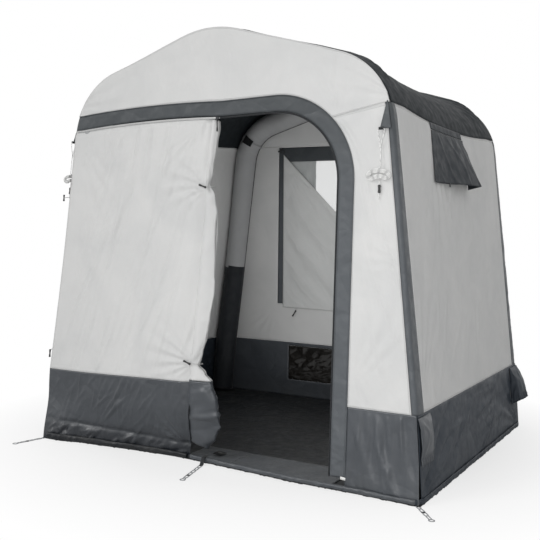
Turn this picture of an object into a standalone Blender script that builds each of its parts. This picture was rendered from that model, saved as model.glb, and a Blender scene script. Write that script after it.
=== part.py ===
"""Inflatable storage tent with two air beams, a front door zipped back to its middle, a rear window,
a vent hood, two guy ropes and ladder straps. Metres, +Z up, the front faces -Y, and the origin is the
middle of the underside of the groundsheet."""
import bpy
import bmesh
from math import cos, pi, radians, sin, tan
from mathutils import Matrix, Vector

# Overall sizes
WIDTH = 2.20
DEPTH = 1.80
HEIGHT = 2.16
BAND_TOP = 0.385
BAND_DRAW_IN = 0.033
WALL_LEAN = radians(6.8)
FACE_LEAN = 0.0175
ROOF_PITCH = radians(17.2)
SHOULDER_RADIUS = 0.376
RIDGE_RADIUS = 0.56
EAVE_BELOW_RIDGE = 0.415
EAVE_HEIGHT = HEIGHT - EAVE_BELOW_RIDGE
EAVE_DIP = 0.045
ROOF_SAG = 0.062
SLACK_START = 1.20

# Cloth and gaps
CLOTH = 0.003
SEAM = 0.0003
CURVED_SEAM = 0.0015
GROUND_THICKNESS = 0.003
GROUND_CORNER = 0.012

# Air beams
SLEEVE_RADIUS = 0.0735
SLEEVE_WALL = 0.0025
SLEEVE_SIDES = 12
BLADDER_FILM = 0.002
BLADDER_SLACK = 0.0006
BLADDER_SIDES = 8
SLEEVE_FOOT = 0.022
BLADDER_FOOT = 0.038
TIE_WIDTH = 0.028
TIE_HEIGHT = EAVE_HEIGHT + 0.095
TIE_CLEARANCE = 0.0018
TIE_FROM = radians(-25)
TIE_TO = radians(135)

# Corner strips along the legs
STRIP_SIDE_LOW = 0.085
STRIP_SIDE_HIGH = 0.045
STRIP_RETURN = 0.026
STRIP_ROUND = 0.016

# Door opening, its trim and zip
DOOR_LEG_INSET = 0.440
DOOR_LEG_X = WIDTH / 2 - DOOR_LEG_INSET
DOOR_TOP = EAVE_HEIGHT - 0.013
DOOR_FALL = 0.034
DOOR_CORNER_RADIUS = 0.33
DOOR_FOOT = 0.060
TRIM_WIDTH = 0.075
ZIP_WIDTH = 0.009
SLIDER_X = 0.002
SLIDER_SIZE = (0.018, 0.006, 0.012)
PULL_SIZE = (0.006, 0.002, 0.012)

# Door half that is still zipped in, and the half tied back behind its edge
FOLD_X_TOP = -0.029
FOLD_LEAN = 0.0763
FOLD_TOP = DOOR_TOP - 0.032
FOLD_FOOT = 0.078
BUNDLE_TOP = FOLD_TOP - 0.012
FOLDS = 5
FOLD_DEPTH = 0.20
FOLD_TUCK = 0.014
FOLD_PRESS = 1.25
BUNDLE_SHAPE = (
    (0.078, 0.060, 0.030), (0.17, 0.180, 0.060), (0.30, 0.172, 0.064), (0.43, 0.110, 0.056),
    (0.50, 0.052, 0.034), (0.64, 0.092, 0.050), (1.07, 0.100, 0.056), (1.32, 0.074, 0.050),
    (1.40, 0.032, 0.030), (1.58, 0.048, 0.044), (1.70, 0.046, 0.040),
)

# Sill flap laid on the floor inside the door
SILL_DEPTH = 0.300
SILL_LEFT = -0.20
SILL_SPLIT = 0.075
SILL_RIGHT = DOOR_LEG_X - 0.008
SILL_SET_IN = 0.010
SILL_WAVE = 0.004

# Rear window, its curtain and blind, and the low vent
REAR_SEAM_HEIGHT = EAVE_HEIGHT + 0.020
WINDOW_INSET = 0.490
WINDOW_HALF_WIDTH = WIDTH / 2 - WINDOW_INSET
WINDOW_LOW = BAND_TOP + 0.270
WINDOW_HIGH = REAR_SEAM_HEIGHT - 0.010
WINDOW_SIDE = 0.055
WINDOW_HEAD = 0.100
WINDOW_SILL = 0.045
FILM = 0.0012
CURTAIN_LEFT = -WINDOW_HALF_WIDTH + 0.018
CURTAIN_RIGHT = WINDOW_HALF_WIDTH - 0.065
CURTAIN_HEAD = WINDOW_HIGH - 0.050
CURTAIN_FOOT = WINDOW_LOW - 0.015
CURTAIN_CREASE = 0.014
CURTAIN_CREASES = 5
BLIND_WIDTH = 0.228
BLIND_LEFT = -WINDOW_HALF_WIDTH + 0.062
BLIND_RIGHT = BLIND_LEFT + BLIND_WIDTH
BLIND_FOLDS = 3
BLIND_FOLD_DEPTH = 0.012
VENT_HALF_WIDTH = WINDOW_HALF_WIDTH - 0.095
VENT_LOW = 0.120
VENT_HIGH = BAND_TOP - 0.023

# Vent hood on the right wall, with the mesh behind it
HOOD_FRONT = -0.351
HOOD_REAR = 0.170
HOOD_TOP = EAVE_HEIGHT - 0.063
HOOD_DROP = 0.262
HOOD_OUT_FRONT = 0.018
HOOD_OUT_REAR = 0.078
MESH_MARGIN = 0.055

# Valves, caps and their pocket flaps, near the foot of each beam on the right
VALVE_HEIGHT = 0.265
VALVE_RADIUS = 0.020
VALVE_LENGTH = 0.022
VALVE_BORE = 0.016
VALVE_FLOOR = 0.006
STEM_RADIUS = 0.0037
STEM_CLEARANCE = 0.0004
PLUNGER_RADIUS = 0.009
PLUNGER_TRAVEL = 0.004
CAP_RADIUS = 0.0222
CAP_THICKNESS = 0.003
CAP_PLUG = 0.005
HOLE_CLEARANCE = 0.0004
POCKET_WIDTH = 0.157
POCKET_TOP = BAND_TOP - 0.011
POCKET_FOOT = 0.168
POCKET_BULGE = 0.026
POCKET_HEM = 0.012
POCKET_FLARE = 0.074

# Guy ropes: gusset, webbing loop, rope, hank and runner
GUSSET_X = WIDTH / 2 - 0.217
GUSSET_TOP = EAVE_HEIGHT + 0.006
GUSSET_FOOT = GUSSET_TOP - 0.123
GUSSET_WIDTH = 0.053
GUSSET_RAISE = 0.012
GUSSET_TIP = 0.08
GUSSET_SET_BACK = 0.030
LOOP_X = GUSSET_X - 0.019
LOOP_RADIUS = 0.0062
LOOP_BORE = 0.0032
LOOP_LENGTH = 0.022
LOOP_SINK = 0.4
ROPE_DIAMETER = 0.0035
ROPE_SIDES = 8
HANK_SIDES = 6
ROPE_JOIN = 0.076
HANK_DROP = 0.196
HANK_REACH = 0.041
HANK_SWELL = 0.0115
HANK_WAIST = 0.76
HANK_PITCH = 0.0049
HANK_LAYER = 0.0043
HANK_DROOP_RADIUS = 0.070
HANK_LOOPS = 4
RUNNER_LENGTH = 0.036
RUNNER_RADIUS = 0.0065
RUNNER_CLEARANCE = 0.0005
RUNNER_DROP = 0.012
TAIL_END = 0.016

# Ladder straps: place along the front edge, heading in degrees from +X, length. The left one stands
# in from the corner, so that it can be lifted while the door is open.
LADDER_INSET_LEFT = 0.038
LADDER_INSET_RIGHT = 0.022
LADDERS = {
    "ladder_strap_left": (LADDER_INSET_LEFT - WIDTH / 2, -102.0, 0.225),
    "ladder_strap_middle": (-0.040, -76.0, 0.270),
    "ladder_strap_right": (WIDTH / 2 - LADDER_INSET_RIGHT, -52.0, 0.205),
}
LADDER_WIDTH = 0.020
LADDER_RAIL = 0.004
LADDER_THICKNESS = 0.0022
LADDER_RUNG = 0.0045
LADDER_PITCH = 0.045
LADDER_RING = 0.014
LADDER_LIFT = 0.0006
LADDER_GAP = 0.0008

# Colours, linear RGB with roughness and metallic
COLOURS = {
    "light_cloth": ((0.64, 0.64, 0.64), 0.75, 0.0),
    "dark_cloth": ((0.070, 0.076, 0.082), 0.6, 0.0),
    "trim_cloth": ((0.12, 0.125, 0.13), 0.65, 0.0),
    "ground_cloth": ((0.014, 0.015, 0.017), 0.8, 0.0),
    "clear_film": ((0.75, 0.77, 0.78), 0.1, 0.0),
    "black_film": ((0.012, 0.012, 0.014), 0.2, 0.0),
    "bladder_film": ((0.55, 0.56, 0.55), 0.35, 0.0),
    "black_plastic": ((0.016, 0.016, 0.017), 0.45, 0.0),
    "grey_plastic": ((0.33, 0.33, 0.33), 0.4, 0.0),
    "white_rope": ((0.85, 0.85, 0.84), 0.8, 0.0),
    "zip_metal": ((0.05, 0.05, 0.052), 0.35, 0.6),
}


def clear_scene():
    for item in list(bpy.data.objects):
        bpy.data.objects.remove(item, do_unlink=True)


def new_collection(name):
    group = bpy.data.collections.new(name)
    bpy.context.scene.collection.children.link(group)
    return group


def material(name):
    found = bpy.data.materials.get(name)
    if found:
        return found
    colour, roughness, metallic = COLOURS[name]
    made = bpy.data.materials.new(name)
    made.use_nodes = True
    shader = made.node_tree.nodes["Principled BSDF"]
    shader.inputs["Base Color"].default_value = (*colour, 1.0)
    shader.inputs["Roughness"].default_value = roughness
    shader.inputs["Metallic"].default_value = metallic
    return made


clear_scene()
TENT = new_collection("inflatable_storage_tent")
CUTTERS = new_collection("cutters")


# Arch outline: the right half as two wall lines, the shoulder arc, the roof line and the ridge arc
def line_piece(start, end):
    length = (end - start).length
    along = (end - start) / length
    return length, lambda s: (start + along * s, Vector((along.y, -along.x)))


def arc_piece(centre, radius, first_angle, turn):
    def place(s):
        angle = first_angle + s / radius
        normal = Vector((cos(angle), sin(angle)))
        return centre + radius * normal, normal
    return radius * turn, place


def arch_pieces():
    foot = Vector((WIDTH / 2, 0))
    band = Vector((WIDTH / 2 - BAND_DRAW_IN, BAND_TOP))
    up_wall = Vector((-sin(WALL_LEAN), cos(WALL_LEAN)))
    up_roof = Vector((-cos(ROOF_PITCH), sin(ROOF_PITCH)))
    ridge_centre = Vector((0, HEIGHT - RIDGE_RADIUS))
    ridge_start = ridge_centre + RIDGE_RADIUS * Vector((sin(ROOF_PITCH), cos(ROOF_PITCH)))
    across = ridge_start - band
    reach = across.cross(up_roof) / up_wall.cross(up_roof)
    corner = band + up_wall * reach
    turn = pi / 2 - WALL_LEAN - ROOF_PITCH
    trim = SHOULDER_RADIUS * tan(turn / 2)
    shoulder_start = corner - up_wall * trim
    shoulder_end = corner + up_roof * trim
    inward = Vector((-up_wall.y, up_wall.x))
    shoulder_centre = shoulder_start + inward * SHOULDER_RADIUS
    return [
        line_piece(foot, band),
        line_piece(band, shoulder_start),
        arc_piece(shoulder_centre, SHOULDER_RADIUS, WALL_LEAN, turn),
        line_piece(shoulder_end, ridge_start),
        arc_piece(ridge_centre, RIDGE_RADIUS, pi / 2 - ROOF_PITCH, ROOF_PITCH),
    ]


ARCH = arch_pieces()
ARCH_LENGTH = sum(length for length, place in ARCH)


def arch_at(s, inset=0.0):
    """Point (x, z) and outward normal at arc length s from the ground, moved in by inset."""
    for length, place in ARCH[:-1]:
        if s <= length:
            break
        s -= length
    else:
        place = ARCH[-1][1]
    point, normal = place(s)
    return point - normal * inset, normal


def solve(function, target, low, high):
    """The value between low and high at which a rising or falling function meets the target."""
    rising = function(high) > function(low)
    for step in range(50):
        middle = (low + high) / 2
        if (function(middle) < target) == rising:
            low = middle
        else:
            high = middle
    return (low + high) / 2


def arch_s(z, inset=0.0):
    return solve(lambda s: arch_at(s, inset)[0].y, z, 0.0, ARCH_LENGTH)


def half_width(z, inset=0.0):
    return arch_at(arch_s(z, inset), inset)[0].x


def roof_z(x, inset=0.0):
    """Height of the outline over a place x, on the shoulder or the roof."""
    s = solve(lambda s: arch_at(s, inset)[0].x, abs(x), arch_s(BAND_TOP), ARCH_LENGTH)
    return arch_at(s, inset)[0].y


def face_y(z):
    """How far the front or rear face stands from the middle at a height."""
    return DEPTH / 2 - FACE_LEAN * z


INSIDE = CLOTH + CURVED_SEAM
BEAM_INSET = INSIDE + SLEEVE_RADIUS
BEAM_FACE_INSET = CLOTH + SEAM + SLEEVE_RADIUS
TAUT_Y = face_y(HEIGHT) - BEAM_INSET - SLEEVE_RADIUS - 0.01
BAND_S = ARCH[0][0]
SHOULDER_S = BAND_S + ARCH[1][0]
ROOF_S = SHOULDER_S + ARCH[2][0]
RIDGE_S = ROOF_S + ARCH[3][0]
EAVE_S = arch_s(EAVE_HEIGHT)
SHOULDER_Z = arch_at(SHOULDER_S)[0].y


def smooth(share):
    share = min(max(share, 0.0), 1.0)
    return share * share * (3 - 2 * share)


def mix(low, high, share):
    return low + (high - low) * share


def steps(low, high, count):
    """Even stops from low up to, but without, high."""
    return [mix(low, high, k / count) for k in range(count)]


def pick(stops, share):
    """The value a share of the way through a list of stops."""
    place = min(max(share, 0.0) * (len(stops) - 1), len(stops) - 1 - 1e-9)
    i = int(place)
    return mix(stops[i], stops[i + 1], place - i)


def slack(s, y):
    """How far the cloth between the two beams hangs in from the outline."""
    free = max(0.0, 1 - (y / TAUT_Y) ** 2)
    start = arch_s(SLACK_START)
    return ROOF_SAG * free * smooth((s - start) / (ARCH_LENGTH - start))


def eave_height(y):
    return EAVE_HEIGHT - EAVE_DIP * max(0.0, 1 - (y / TAUT_Y) ** 2)


# Makers of solids
def finish(made, name, colour, parent=None):
    """Name an object, put it in the tent with its material, and hang it on its pivot."""
    made.name = name
    made.data.name = name
    for group in list(made.users_collection):
        group.objects.unlink(made)
    TENT.objects.link(made)
    made.data.materials.clear()
    made.data.materials.append(material(colour))
    if parent:
        made.parent = parent
        made.matrix_parent_inverse = parent.matrix_world.inverted()
    return made


def pivot(name, place):
    """An empty on a joint's axis."""
    empty = bpy.data.objects.new(name, None)
    empty.location = place
    empty.empty_display_size = 0.05
    TENT.objects.link(empty)
    bpy.context.view_layer.update()
    return empty


def mesh_object(shape, name):
    mesh = bpy.data.meshes.new(name)
    shape.to_mesh(mesh)
    shape.free()
    made = bpy.data.objects.new(name, mesh)
    bpy.context.scene.collection.objects.link(made)
    return made


def panel(name, surface, across, up, colour, thickness=CLOTH, parent=None):
    """A sheet whose outer face is surface(u, v), with u across and v up, seen from outside."""
    grid = bmesh.new()
    bmesh.ops.create_grid(grid, x_segments=across, y_segments=up, size=1)
    for vertex in grid.verts:
        vertex.co = surface((vertex.co.x + 1) / 2, (vertex.co.y + 1) / 2)
    made = mesh_object(grid, name)
    wall = made.modifiers.new("thickness", "SOLIDIFY")
    wall.thickness = thickness
    wall.offset = -1
    return finish(made, name, colour, parent)


def loft(name, rings, colour, parent=None):
    """A closed solid through rings of equal count, each run against the clock seen from its end."""
    shape = bmesh.new()
    rows = [[shape.verts.new(point) for point in ring] for ring in rings]
    count = len(rings[0])
    for low, high in zip(rows, rows[1:]):
        for i in range(count):
            j = (i + 1) % count
            shape.faces.new((low[i], low[j], high[j], high[i]))
    shape.faces.new(list(reversed(rows[0])))
    shape.faces.new(rows[-1])
    return finish(mesh_object(shape, name), name, colour, parent)


def tube(name, points, radius, colour, sides, parent=None, capped=True):
    """A round tube along a list of points."""
    path = bpy.data.curves.new(name, "CURVE")
    path.dimensions = "3D"
    spline = path.splines.new("POLY")
    spline.points.add(len(points) - 1)
    for node, point in zip(spline.points, points):
        node.co = (*point, 1.0)
    path.bevel_depth = radius
    path.bevel_resolution = round(sides / 2) - 2
    path.use_fill_caps = capped
    made = bpy.data.objects.new(name, path)
    bpy.context.scene.collection.objects.link(made)
    return finish(made, name, colour, parent)


def to_mesh(made):
    """Turn a curve object into a welded mesh object, so that it can be cut."""
    bpy.context.view_layer.update()
    graph = bpy.context.evaluated_depsgraph_get()
    mesh = bpy.data.meshes.new_from_object(made.evaluated_get(graph))
    shape = bmesh.new()
    shape.from_mesh(mesh)
    bmesh.ops.remove_doubles(shape, verts=shape.verts, dist=0.00001)
    shape.to_mesh(mesh)
    shape.free()
    name = made.name
    solid = bpy.data.objects.new(name + "_mesh", mesh)
    solid.matrix_world = made.matrix_world
    TENT.objects.link(solid)
    bpy.data.objects.remove(made, do_unlink=True)
    solid.name = name
    return solid


def flat_outline(name, loops, thickness, colour, parent=None):
    """A flat plate in the XY plane: the first loop is its outline, the others are holes."""
    outline = bpy.data.curves.new(name, "CURVE")
    outline.dimensions = "2D"
    outline.fill_mode = "BOTH"
    outline.extrude = thickness / 2
    for loop in loops:
        spline = outline.splines.new("POLY")
        spline.points.add(len(loop) - 1)
        for node, (x, y) in zip(spline.points, loop):
            node.co = (x, y, 0.0, 1.0)
        spline.use_cyclic_u = True
    made = bpy.data.objects.new(name, outline)
    bpy.context.scene.collection.objects.link(made)
    return finish(made, name, colour, parent)


def turned(name, profile, place, direction, colour, parent=None, steps=24):
    """A profile of (radius, height) turned about a direction through a place."""
    shape = bmesh.new()
    rim = [shape.verts.new((radius, 0, height)) for radius, height in profile]
    on_axis = profile[0][0] == 0.0
    for first, second in zip(rim, rim[1:] if on_axis else rim[1:] + rim[:1]):
        shape.edges.new((first, second))
    made = mesh_object(shape, name)
    screw = made.modifiers.new("turn", "SCREW")
    screw.steps = steps
    screw.render_steps = steps
    screw.use_merge_vertices = True
    screw.merge_threshold = 0.00001
    made.location = place
    made.rotation_mode = "QUATERNION"
    made.rotation_quaternion = Vector((0, 0, 1)).rotation_difference(direction)
    bpy.context.view_layer.update()
    world = made.matrix_world.copy()
    finish(made, name, colour)
    if parent:
        made.parent = parent
        made.matrix_parent_inverse = parent.matrix_world.inverted()
    made.matrix_world = world
    return made


def cutter(shape, name):
    made = mesh_object(shape, name)
    for group in list(made.users_collection):
        group.objects.unlink(made)
    CUTTERS.objects.link(made)
    made.hide_render = True
    made.display_type = "WIRE"
    return made


def box_cutter(name, low, high):
    shape = bmesh.new()
    bmesh.ops.create_cube(shape, size=1)
    middle = (Vector(low) + Vector(high)) / 2
    bmesh.ops.scale(shape, vec=Vector(high) - Vector(low), verts=shape.verts)
    bmesh.ops.translate(shape, vec=middle, verts=shape.verts)
    return cutter(shape, name)


def rod_cutter(name, place, direction, radius, length, segments=24):
    shape = bmesh.new()
    bmesh.ops.create_cone(shape, cap_ends=True, segments=segments, radius1=radius, radius2=radius,
                          depth=length)
    turn = Vector((0, 0, 1)).rotation_difference(direction).to_matrix().to_4x4()
    bmesh.ops.transform(shape, matrix=Matrix.Translation(place) @ turn, verts=shape.verts)
    return cutter(shape, name)


def combine(made, tool, operation):
    step = made.modifiers.new(operation.lower(), "BOOLEAN")
    step.operation = operation
    step.solver = "EXACT"
    step.object = tool


# Groundsheet
def rounded_rectangle(half_x, half_y, radius, steps=4):
    loop = []
    for corner, (sx, sy) in enumerate(((1, 1), (-1, 1), (-1, -1), (1, -1))):
        for k in range(steps + 1):
            angle = (corner + k / steps) * pi / 2
            loop.append((sx * (half_x - radius) + radius * cos(angle),
                         sy * (half_y - radius) + radius * sin(angle)))
    return loop


groundsheet = flat_outline("groundsheet", [rounded_rectangle(WIDTH / 2, DEPTH / 2, GROUND_CORNER)],
                           GROUND_THICKNESS, "ground_cloth")
groundsheet.location.z = GROUND_THICKNESS / 2
FLOOR = GROUND_THICKNESS + SEAM


# Roof halves, side walls and mud bands, each from one surface on the outline
def side_surface(side, s, y):
    point, normal = arch_at(s)
    point = point - normal * slack(s, y)
    return Vector((side * point.x, y, point.y))


def roof_half(side):
    edge = face_y(HEIGHT)

    def surface(u, v):
        y = mix(-edge, edge, u if side > 0 else 1 - u)
        stops = steps(arch_s(eave_height(y)) + SEAM, ROOF_S, 5) + steps(ROOF_S, RIDGE_S, 3)
        stops += steps(RIDGE_S, ARCH_LENGTH, 3) + [ARCH_LENGTH]
        point = side_surface(side, pick(stops, v), y)
        point.x += side * SEAM
        return point
    return surface


def strip_side(z):
    share = (z - BAND_TOP) / (EAVE_HEIGHT - BAND_TOP)
    return mix(STRIP_SIDE_LOW, STRIP_SIDE_HIGH, share)


def wall_surface(side):
    def wall_s(v, y):
        top = arch_s(eave_height(y)) - 2 * CURVED_SEAM
        return pick(steps(BAND_S + SEAM, SHOULDER_S, 4) + steps(SHOULDER_S, top, 2) + [top], v)

    def surface(u, v):
        share = u if side > 0 else 1 - u
        z = arch_at(wall_s(v, mix(-TAUT_Y, TAUT_Y, share)))[0].y
        edge = face_y(z) - strip_side(z) - SEAM
        y = mix(-edge, edge, share)
        return side_surface(side, wall_s(v, y), y)
    return surface


def side_band_surface(side):
    low, high = arch_s(FLOOR), BAND_S - SEAM

    def surface(u, v):
        s = mix(low, high, v)
        edge = face_y(arch_at(s)[0].y)
        return side_surface(side, s, mix(-edge, edge, u if side > 0 else 1 - u))
    return surface


for side, word in ((1, "right"), (-1, "left")):
    panel("roof_" + word, roof_half(side), 14, 11, "dark_cloth")
    panel(word + "_wall", wall_surface(side), 10, 6, "light_cloth")
    panel(word + "_mud_band", side_band_surface(side), 6, 2, "dark_cloth")


# Corner strips: a rounded angle that covers each leg from the band to the eave
def strip_surface(x_side, y_side, back):
    top = EAVE_S - CURVED_SEAM
    stops = steps(BAND_S + SEAM, SHOULDER_S, 3) + steps(SHOULDER_S, top, 3) + [top]

    def section(share, z):
        """Distance in from the side face and from the end face, round the corner."""
        if back == 0:
            return 0.0, mix(0.0, strip_side(z), share)
        if share < 0.3:
            return mix(back, STRIP_ROUND, share / 0.3), 0.0
        if share > 0.7:
            return 0.0, mix(STRIP_ROUND, strip_side(z), (share - 0.7) / 0.3)
        angle = (share - 0.3) / 0.4 * pi / 2
        return STRIP_ROUND * (1 - sin(angle)), STRIP_ROUND * (1 - cos(angle))

    def surface(u, v):
        if x_side * y_side > 0:
            u = 1 - u
        point, normal = arch_at(pick(stops, v))
        from_side, from_end = section(u, point.y)
        x = point.x - from_side
        return Vector((x_side * x, y_side * (face_y(point.y) - from_end), point.y))
    return surface


for y_side, end in ((-1, "front"), (1, "rear")):
    for x_side, word in ((1, "right"), (-1, "left")):
        has_return = (x_side, y_side) != (-1, -1)
        panel(f"corner_strip_{end}_{word}",
              strip_surface(x_side, y_side, STRIP_RETURN if has_return else 0.0),
              10 if has_return else 2, 6, "trim_cloth")


# Door edge: the zip line from the left corner over the top and down the right leg
ARC_CENTRE = Vector((DOOR_LEG_X - DOOR_CORNER_RADIUS, DOOR_TOP - DOOR_CORNER_RADIUS))


def front_point(x, z, out=0.0):
    return Vector((x, -face_y(z) - out, z))


def run_height(x):
    """Height of the zip line along the top, which falls towards the left."""
    return DOOR_TOP - DOOR_FALL * (ARC_CENTRE.x - x)


def door_edge(t, offset):
    """Point (x, z) at t, 0 to 1 on the top, 1 to 2 round the corner, 2 to 3 down the leg."""
    if t <= 1:
        guess = run_height(-WIDTH / 2 + 0.2) + offset
        left = -(half_width(guess) - INSIDE)
        x = mix(left, ARC_CENTRE.x, t)
        return Vector((x, run_height(x) + offset))
    if t <= 2:
        angle = pi / 2 * (2 - t)
        radius = DOOR_CORNER_RADIUS + offset
        return ARC_CENTRE + radius * Vector((cos(angle), sin(angle)))
    z = mix(ARC_CENTRE.y, DOOR_FOOT, t - 2)
    return Vector((DOOR_LEG_X + offset, z))


def door_band(near, far):
    """Surface of a band beside the zip line, between two offsets from it."""
    def surface(u, v):
        knot = u * 18
        if knot < 6:
            t = knot / 6
        elif knot < 14:
            t = 1 + (knot - 6) / 8
        else:
            t = 2 + (knot - 14) / 4
        point = door_edge(t, mix(near, far, v))
        return front_point(point.x, point.y)
    return surface


panel("door_trim", door_band(0.0, TRIM_WIDTH), 18, 2, "trim_cloth")
panel("zip_track", door_band(-SEAM - ZIP_WIDTH, -SEAM), 18, 1, "zip_metal")


# Front brow over the door, bounded below by the trim and by a seam to the right shoulder
TRIM_OUT = TRIM_WIDTH + SEAM
BROW_SEAM_T = 1.5
SEAM_START = door_edge(BROW_SEAM_T, TRIM_OUT)
SEAM_END = Vector((half_width(EAVE_HEIGHT) - STRIP_RETURN, EAVE_HEIGHT))
BROW_CORNER = Vector((half_width(EAVE_HEIGHT, INSIDE), EAVE_HEIGHT))


def brow_foot(knot):
    if knot <= 6:
        return door_edge(knot / 6, TRIM_OUT)
    if knot <= 10:
        return door_edge(1 + (knot - 6) / 8, TRIM_OUT)
    if knot <= 13:
        return SEAM_START.lerp(SEAM_END, (knot - 10) / 3)
    return SEAM_END.lerp(BROW_CORNER, knot - 13)


def brow_surface(u, v):
    foot = brow_foot(u * 14)
    top_x = foot.x * 0.985
    x = mix(foot.x, top_x, v)
    z = mix(foot.y, roof_z(top_x, INSIDE), v)
    return front_point(x, z)


panel("front_brow", brow_surface, 14, 6, "light_cloth")


def right_panel_surface(u, v):
    knot = v * 8
    gap = SEAM * 1.5
    if knot <= 4:
        left = Vector((DOOR_LEG_X + TRIM_OUT, mix(BAND_TOP + SEAM, ARC_CENTRE.y, knot / 4)))
    else:
        arc_length = pi / 2 * (DOOR_CORNER_RADIUS + TRIM_OUT)
        left = door_edge(2 - (knot - 4) / 4 * (2 - BROW_SEAM_T - gap / arc_length), TRIM_OUT)
    top = EAVE_HEIGHT - gap
    z = pick(steps(BAND_TOP + SEAM, SHOULDER_Z, 6) + steps(SHOULDER_Z, top, 2) + [top], v)
    right = Vector((half_width(z) - STRIP_RETURN - CURVED_SEAM, z))
    point = left.lerp(right, u)
    return front_point(point.x, point.y)


panel("front_right_panel", right_panel_surface, 3, 8, "light_cloth")


def right_band_surface(u, v):
    z = mix(FLOOR, BAND_TOP - SEAM, v)
    return front_point(mix(DOOR_LEG_X + TRIM_OUT, half_width(z, INSIDE), u), z)


panel("front_right_mud_band", right_band_surface, 3, 3, "dark_cloth")


# Door half that is still zipped in: it swings about its left edge
def fold_x(z):
    return FOLD_X_TOP - FOLD_LEAN * (FOLD_TOP - z)


def leaf_left(z):
    return -half_width(z, INSIDE)


LEAF_HINGE = front_point(leaf_left(BAND_TOP), BAND_TOP)
leaf_pivot = pivot("door_leaf_pivot", LEAF_HINGE)


def leaf_surface(low, high):
    """A part of the leaf between two heights; no upper height means up to the zip."""
    def surface(u, v):
        def edge(x_of):
            z_top = high
            if z_top is None:
                z_top = run_height(x_of(DOOR_TOP)) - ZIP_WIDTH - 3 * SEAM
            stops = [low, z_top]
            if high is None:
                stops = steps(low, SHOULDER_Z, 8) + steps(SHOULDER_Z, z_top, 2) + [z_top]
            z = pick(stops, v)
            return Vector((x_of(z), z))
        left = edge(leaf_left)
        right = edge(lambda z: fold_x(z) - SEAM)
        point = left.lerp(right, u)
        return front_point(point.x, point.y)
    return surface


panel("door_leaf_panel", leaf_surface(BAND_TOP + SEAM, None), 6, 10, "light_cloth", parent=leaf_pivot)
panel("door_leaf_mud_band", leaf_surface(FLOOR, BAND_TOP - SEAM), 6, 3, "dark_cloth", parent=leaf_pivot)


# Door half tied back: gathered cloth whose folds run its whole height
half_pivot = pivot("door_half_pivot", front_point(fold_x(BAND_TOP), BAND_TOP))


def bundle_size(z):
    """Width and depth of the gathered cloth at a height."""
    for (z0, w0, d0), (z1, w1, d1) in zip(BUNDLE_SHAPE, BUNDLE_SHAPE[1:]):
        if z <= z1:
            break
    share = smooth((z - z0) / (z1 - z0))
    return mix(w0, w1, share), mix(d0, d1, share)


def bundle_ring(z, count=30):
    width, depth = bundle_size(z)
    ring = []
    for k in range(count):
        angle = 2 * pi * k / count
        ripple = 1 - FOLD_DEPTH * (0.5 + 0.5 * cos(FOLDS * angle + 1.3 + 1.6 * z))
        x = fold_x(z) - FOLD_TUCK + width / 2 * (1 + ripple * cos(angle))
        y = CLOTH + max(SEAM, depth / 2 * (1 + FOLD_PRESS * ripple * sin(angle)))
        ring.append(Vector((x, y - face_y(z), z)))
    return ring


def bundle(name, low, high, rows, colour):
    rings = [bundle_ring(mix(low, high, k / rows)) for k in range(rows + 1)]
    return loft(name, rings, colour, half_pivot)


bundle("door_half_gathered", BAND_TOP + SEAM, BUNDLE_TOP, 16, "light_cloth")
bundle("door_half_mud_band", FOLD_FOOT, BAND_TOP - SEAM, 6, "dark_cloth")


# Zip slider on the top run, with its pull
slider_place = front_point(SLIDER_X, run_height(SLIDER_X) - SEAM - ZIP_WIDTH / 2)
slider_pivot = pivot("door_slider_pivot", slider_place)


def block(shape, size, place):
    made = bmesh.ops.create_cube(shape, size=1)
    bmesh.ops.scale(shape, vec=size, verts=made["verts"])
    bmesh.ops.translate(shape, vec=place, verts=made["verts"])


slider_shape = bmesh.new()
body_place = slider_place + Vector((0, -SEAM - SLIDER_SIZE[1] / 2, 0))
block(slider_shape, SLIDER_SIZE, body_place)
slider = finish(mesh_object(slider_shape, "door_slider"), "door_slider", "zip_metal", slider_pivot)
pull_shape = bmesh.new()
pull_drop = SLIDER_SIZE[2] / 2 + PULL_SIZE[2] / 2 - 0.001
block(pull_shape, PULL_SIZE, body_place - Vector((0, 0, pull_drop)))
combine(slider, cutter(pull_shape, "slider_pull"), "UNION")
slider_edge = slider.modifiers.new("edges", "BEVEL")
slider_edge.width = 0.0007
slider_edge.segments = 1


# Sill: its left end stays flat on the floor, the rest swings up about its front edge
SILL_FRONT = -DEPTH / 2 + SILL_SET_IN
sill_pivot = pivot("sill_flap_pivot", Vector((SILL_SPLIT, SILL_FRONT, FLOOR)))


def sill_surface(left, right):
    def surface(u, v):
        x = mix(left, right, u)
        wave = SILL_WAVE * (0.5 - 0.5 * cos(2 * pi * (x - SILL_LEFT) / 0.17)) * sin(pi * v)
        return Vector((x, SILL_FRONT + SILL_DEPTH * v, FLOOR + CLOTH + wave))
    return surface


panel("sill_flap", sill_surface(SILL_SPLIT, SILL_RIGHT), 14, 4, "dark_cloth", parent=sill_pivot)
panel("sill_left_end", sill_surface(SILL_LEFT, SILL_SPLIT - SEAM), 6, 4, "dark_cloth")


# Rear wall, gable and mud band, with the window and the low vent let in
def rear_point(x, z, out=0.0):
    return Vector((x, face_y(z) + out, z))


def rear_rectangle(left, right, low, high, out=0.0):
    """A plain patch on the rear face; u runs from right to left as seen from the front."""
    return lambda u, v: rear_point(mix(right, left, u), mix(low, high, v), out)


def rear_wall_surface(u, v):
    z = pick([BAND_TOP + SEAM, 1.0, SHOULDER_Z, (SHOULDER_Z + EAVE_HEIGHT) / 2, EAVE_HEIGHT,
              EAVE_HEIGHT + SEAM, REAR_SEAM_HEIGHT], v)
    edge = half_width(z) - STRIP_RETURN - CURVED_SEAM
    if z > EAVE_HEIGHT + SEAM / 2:
        edge = half_width(z, INSIDE)
    return rear_point(mix(edge, -edge, u), z)


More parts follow.
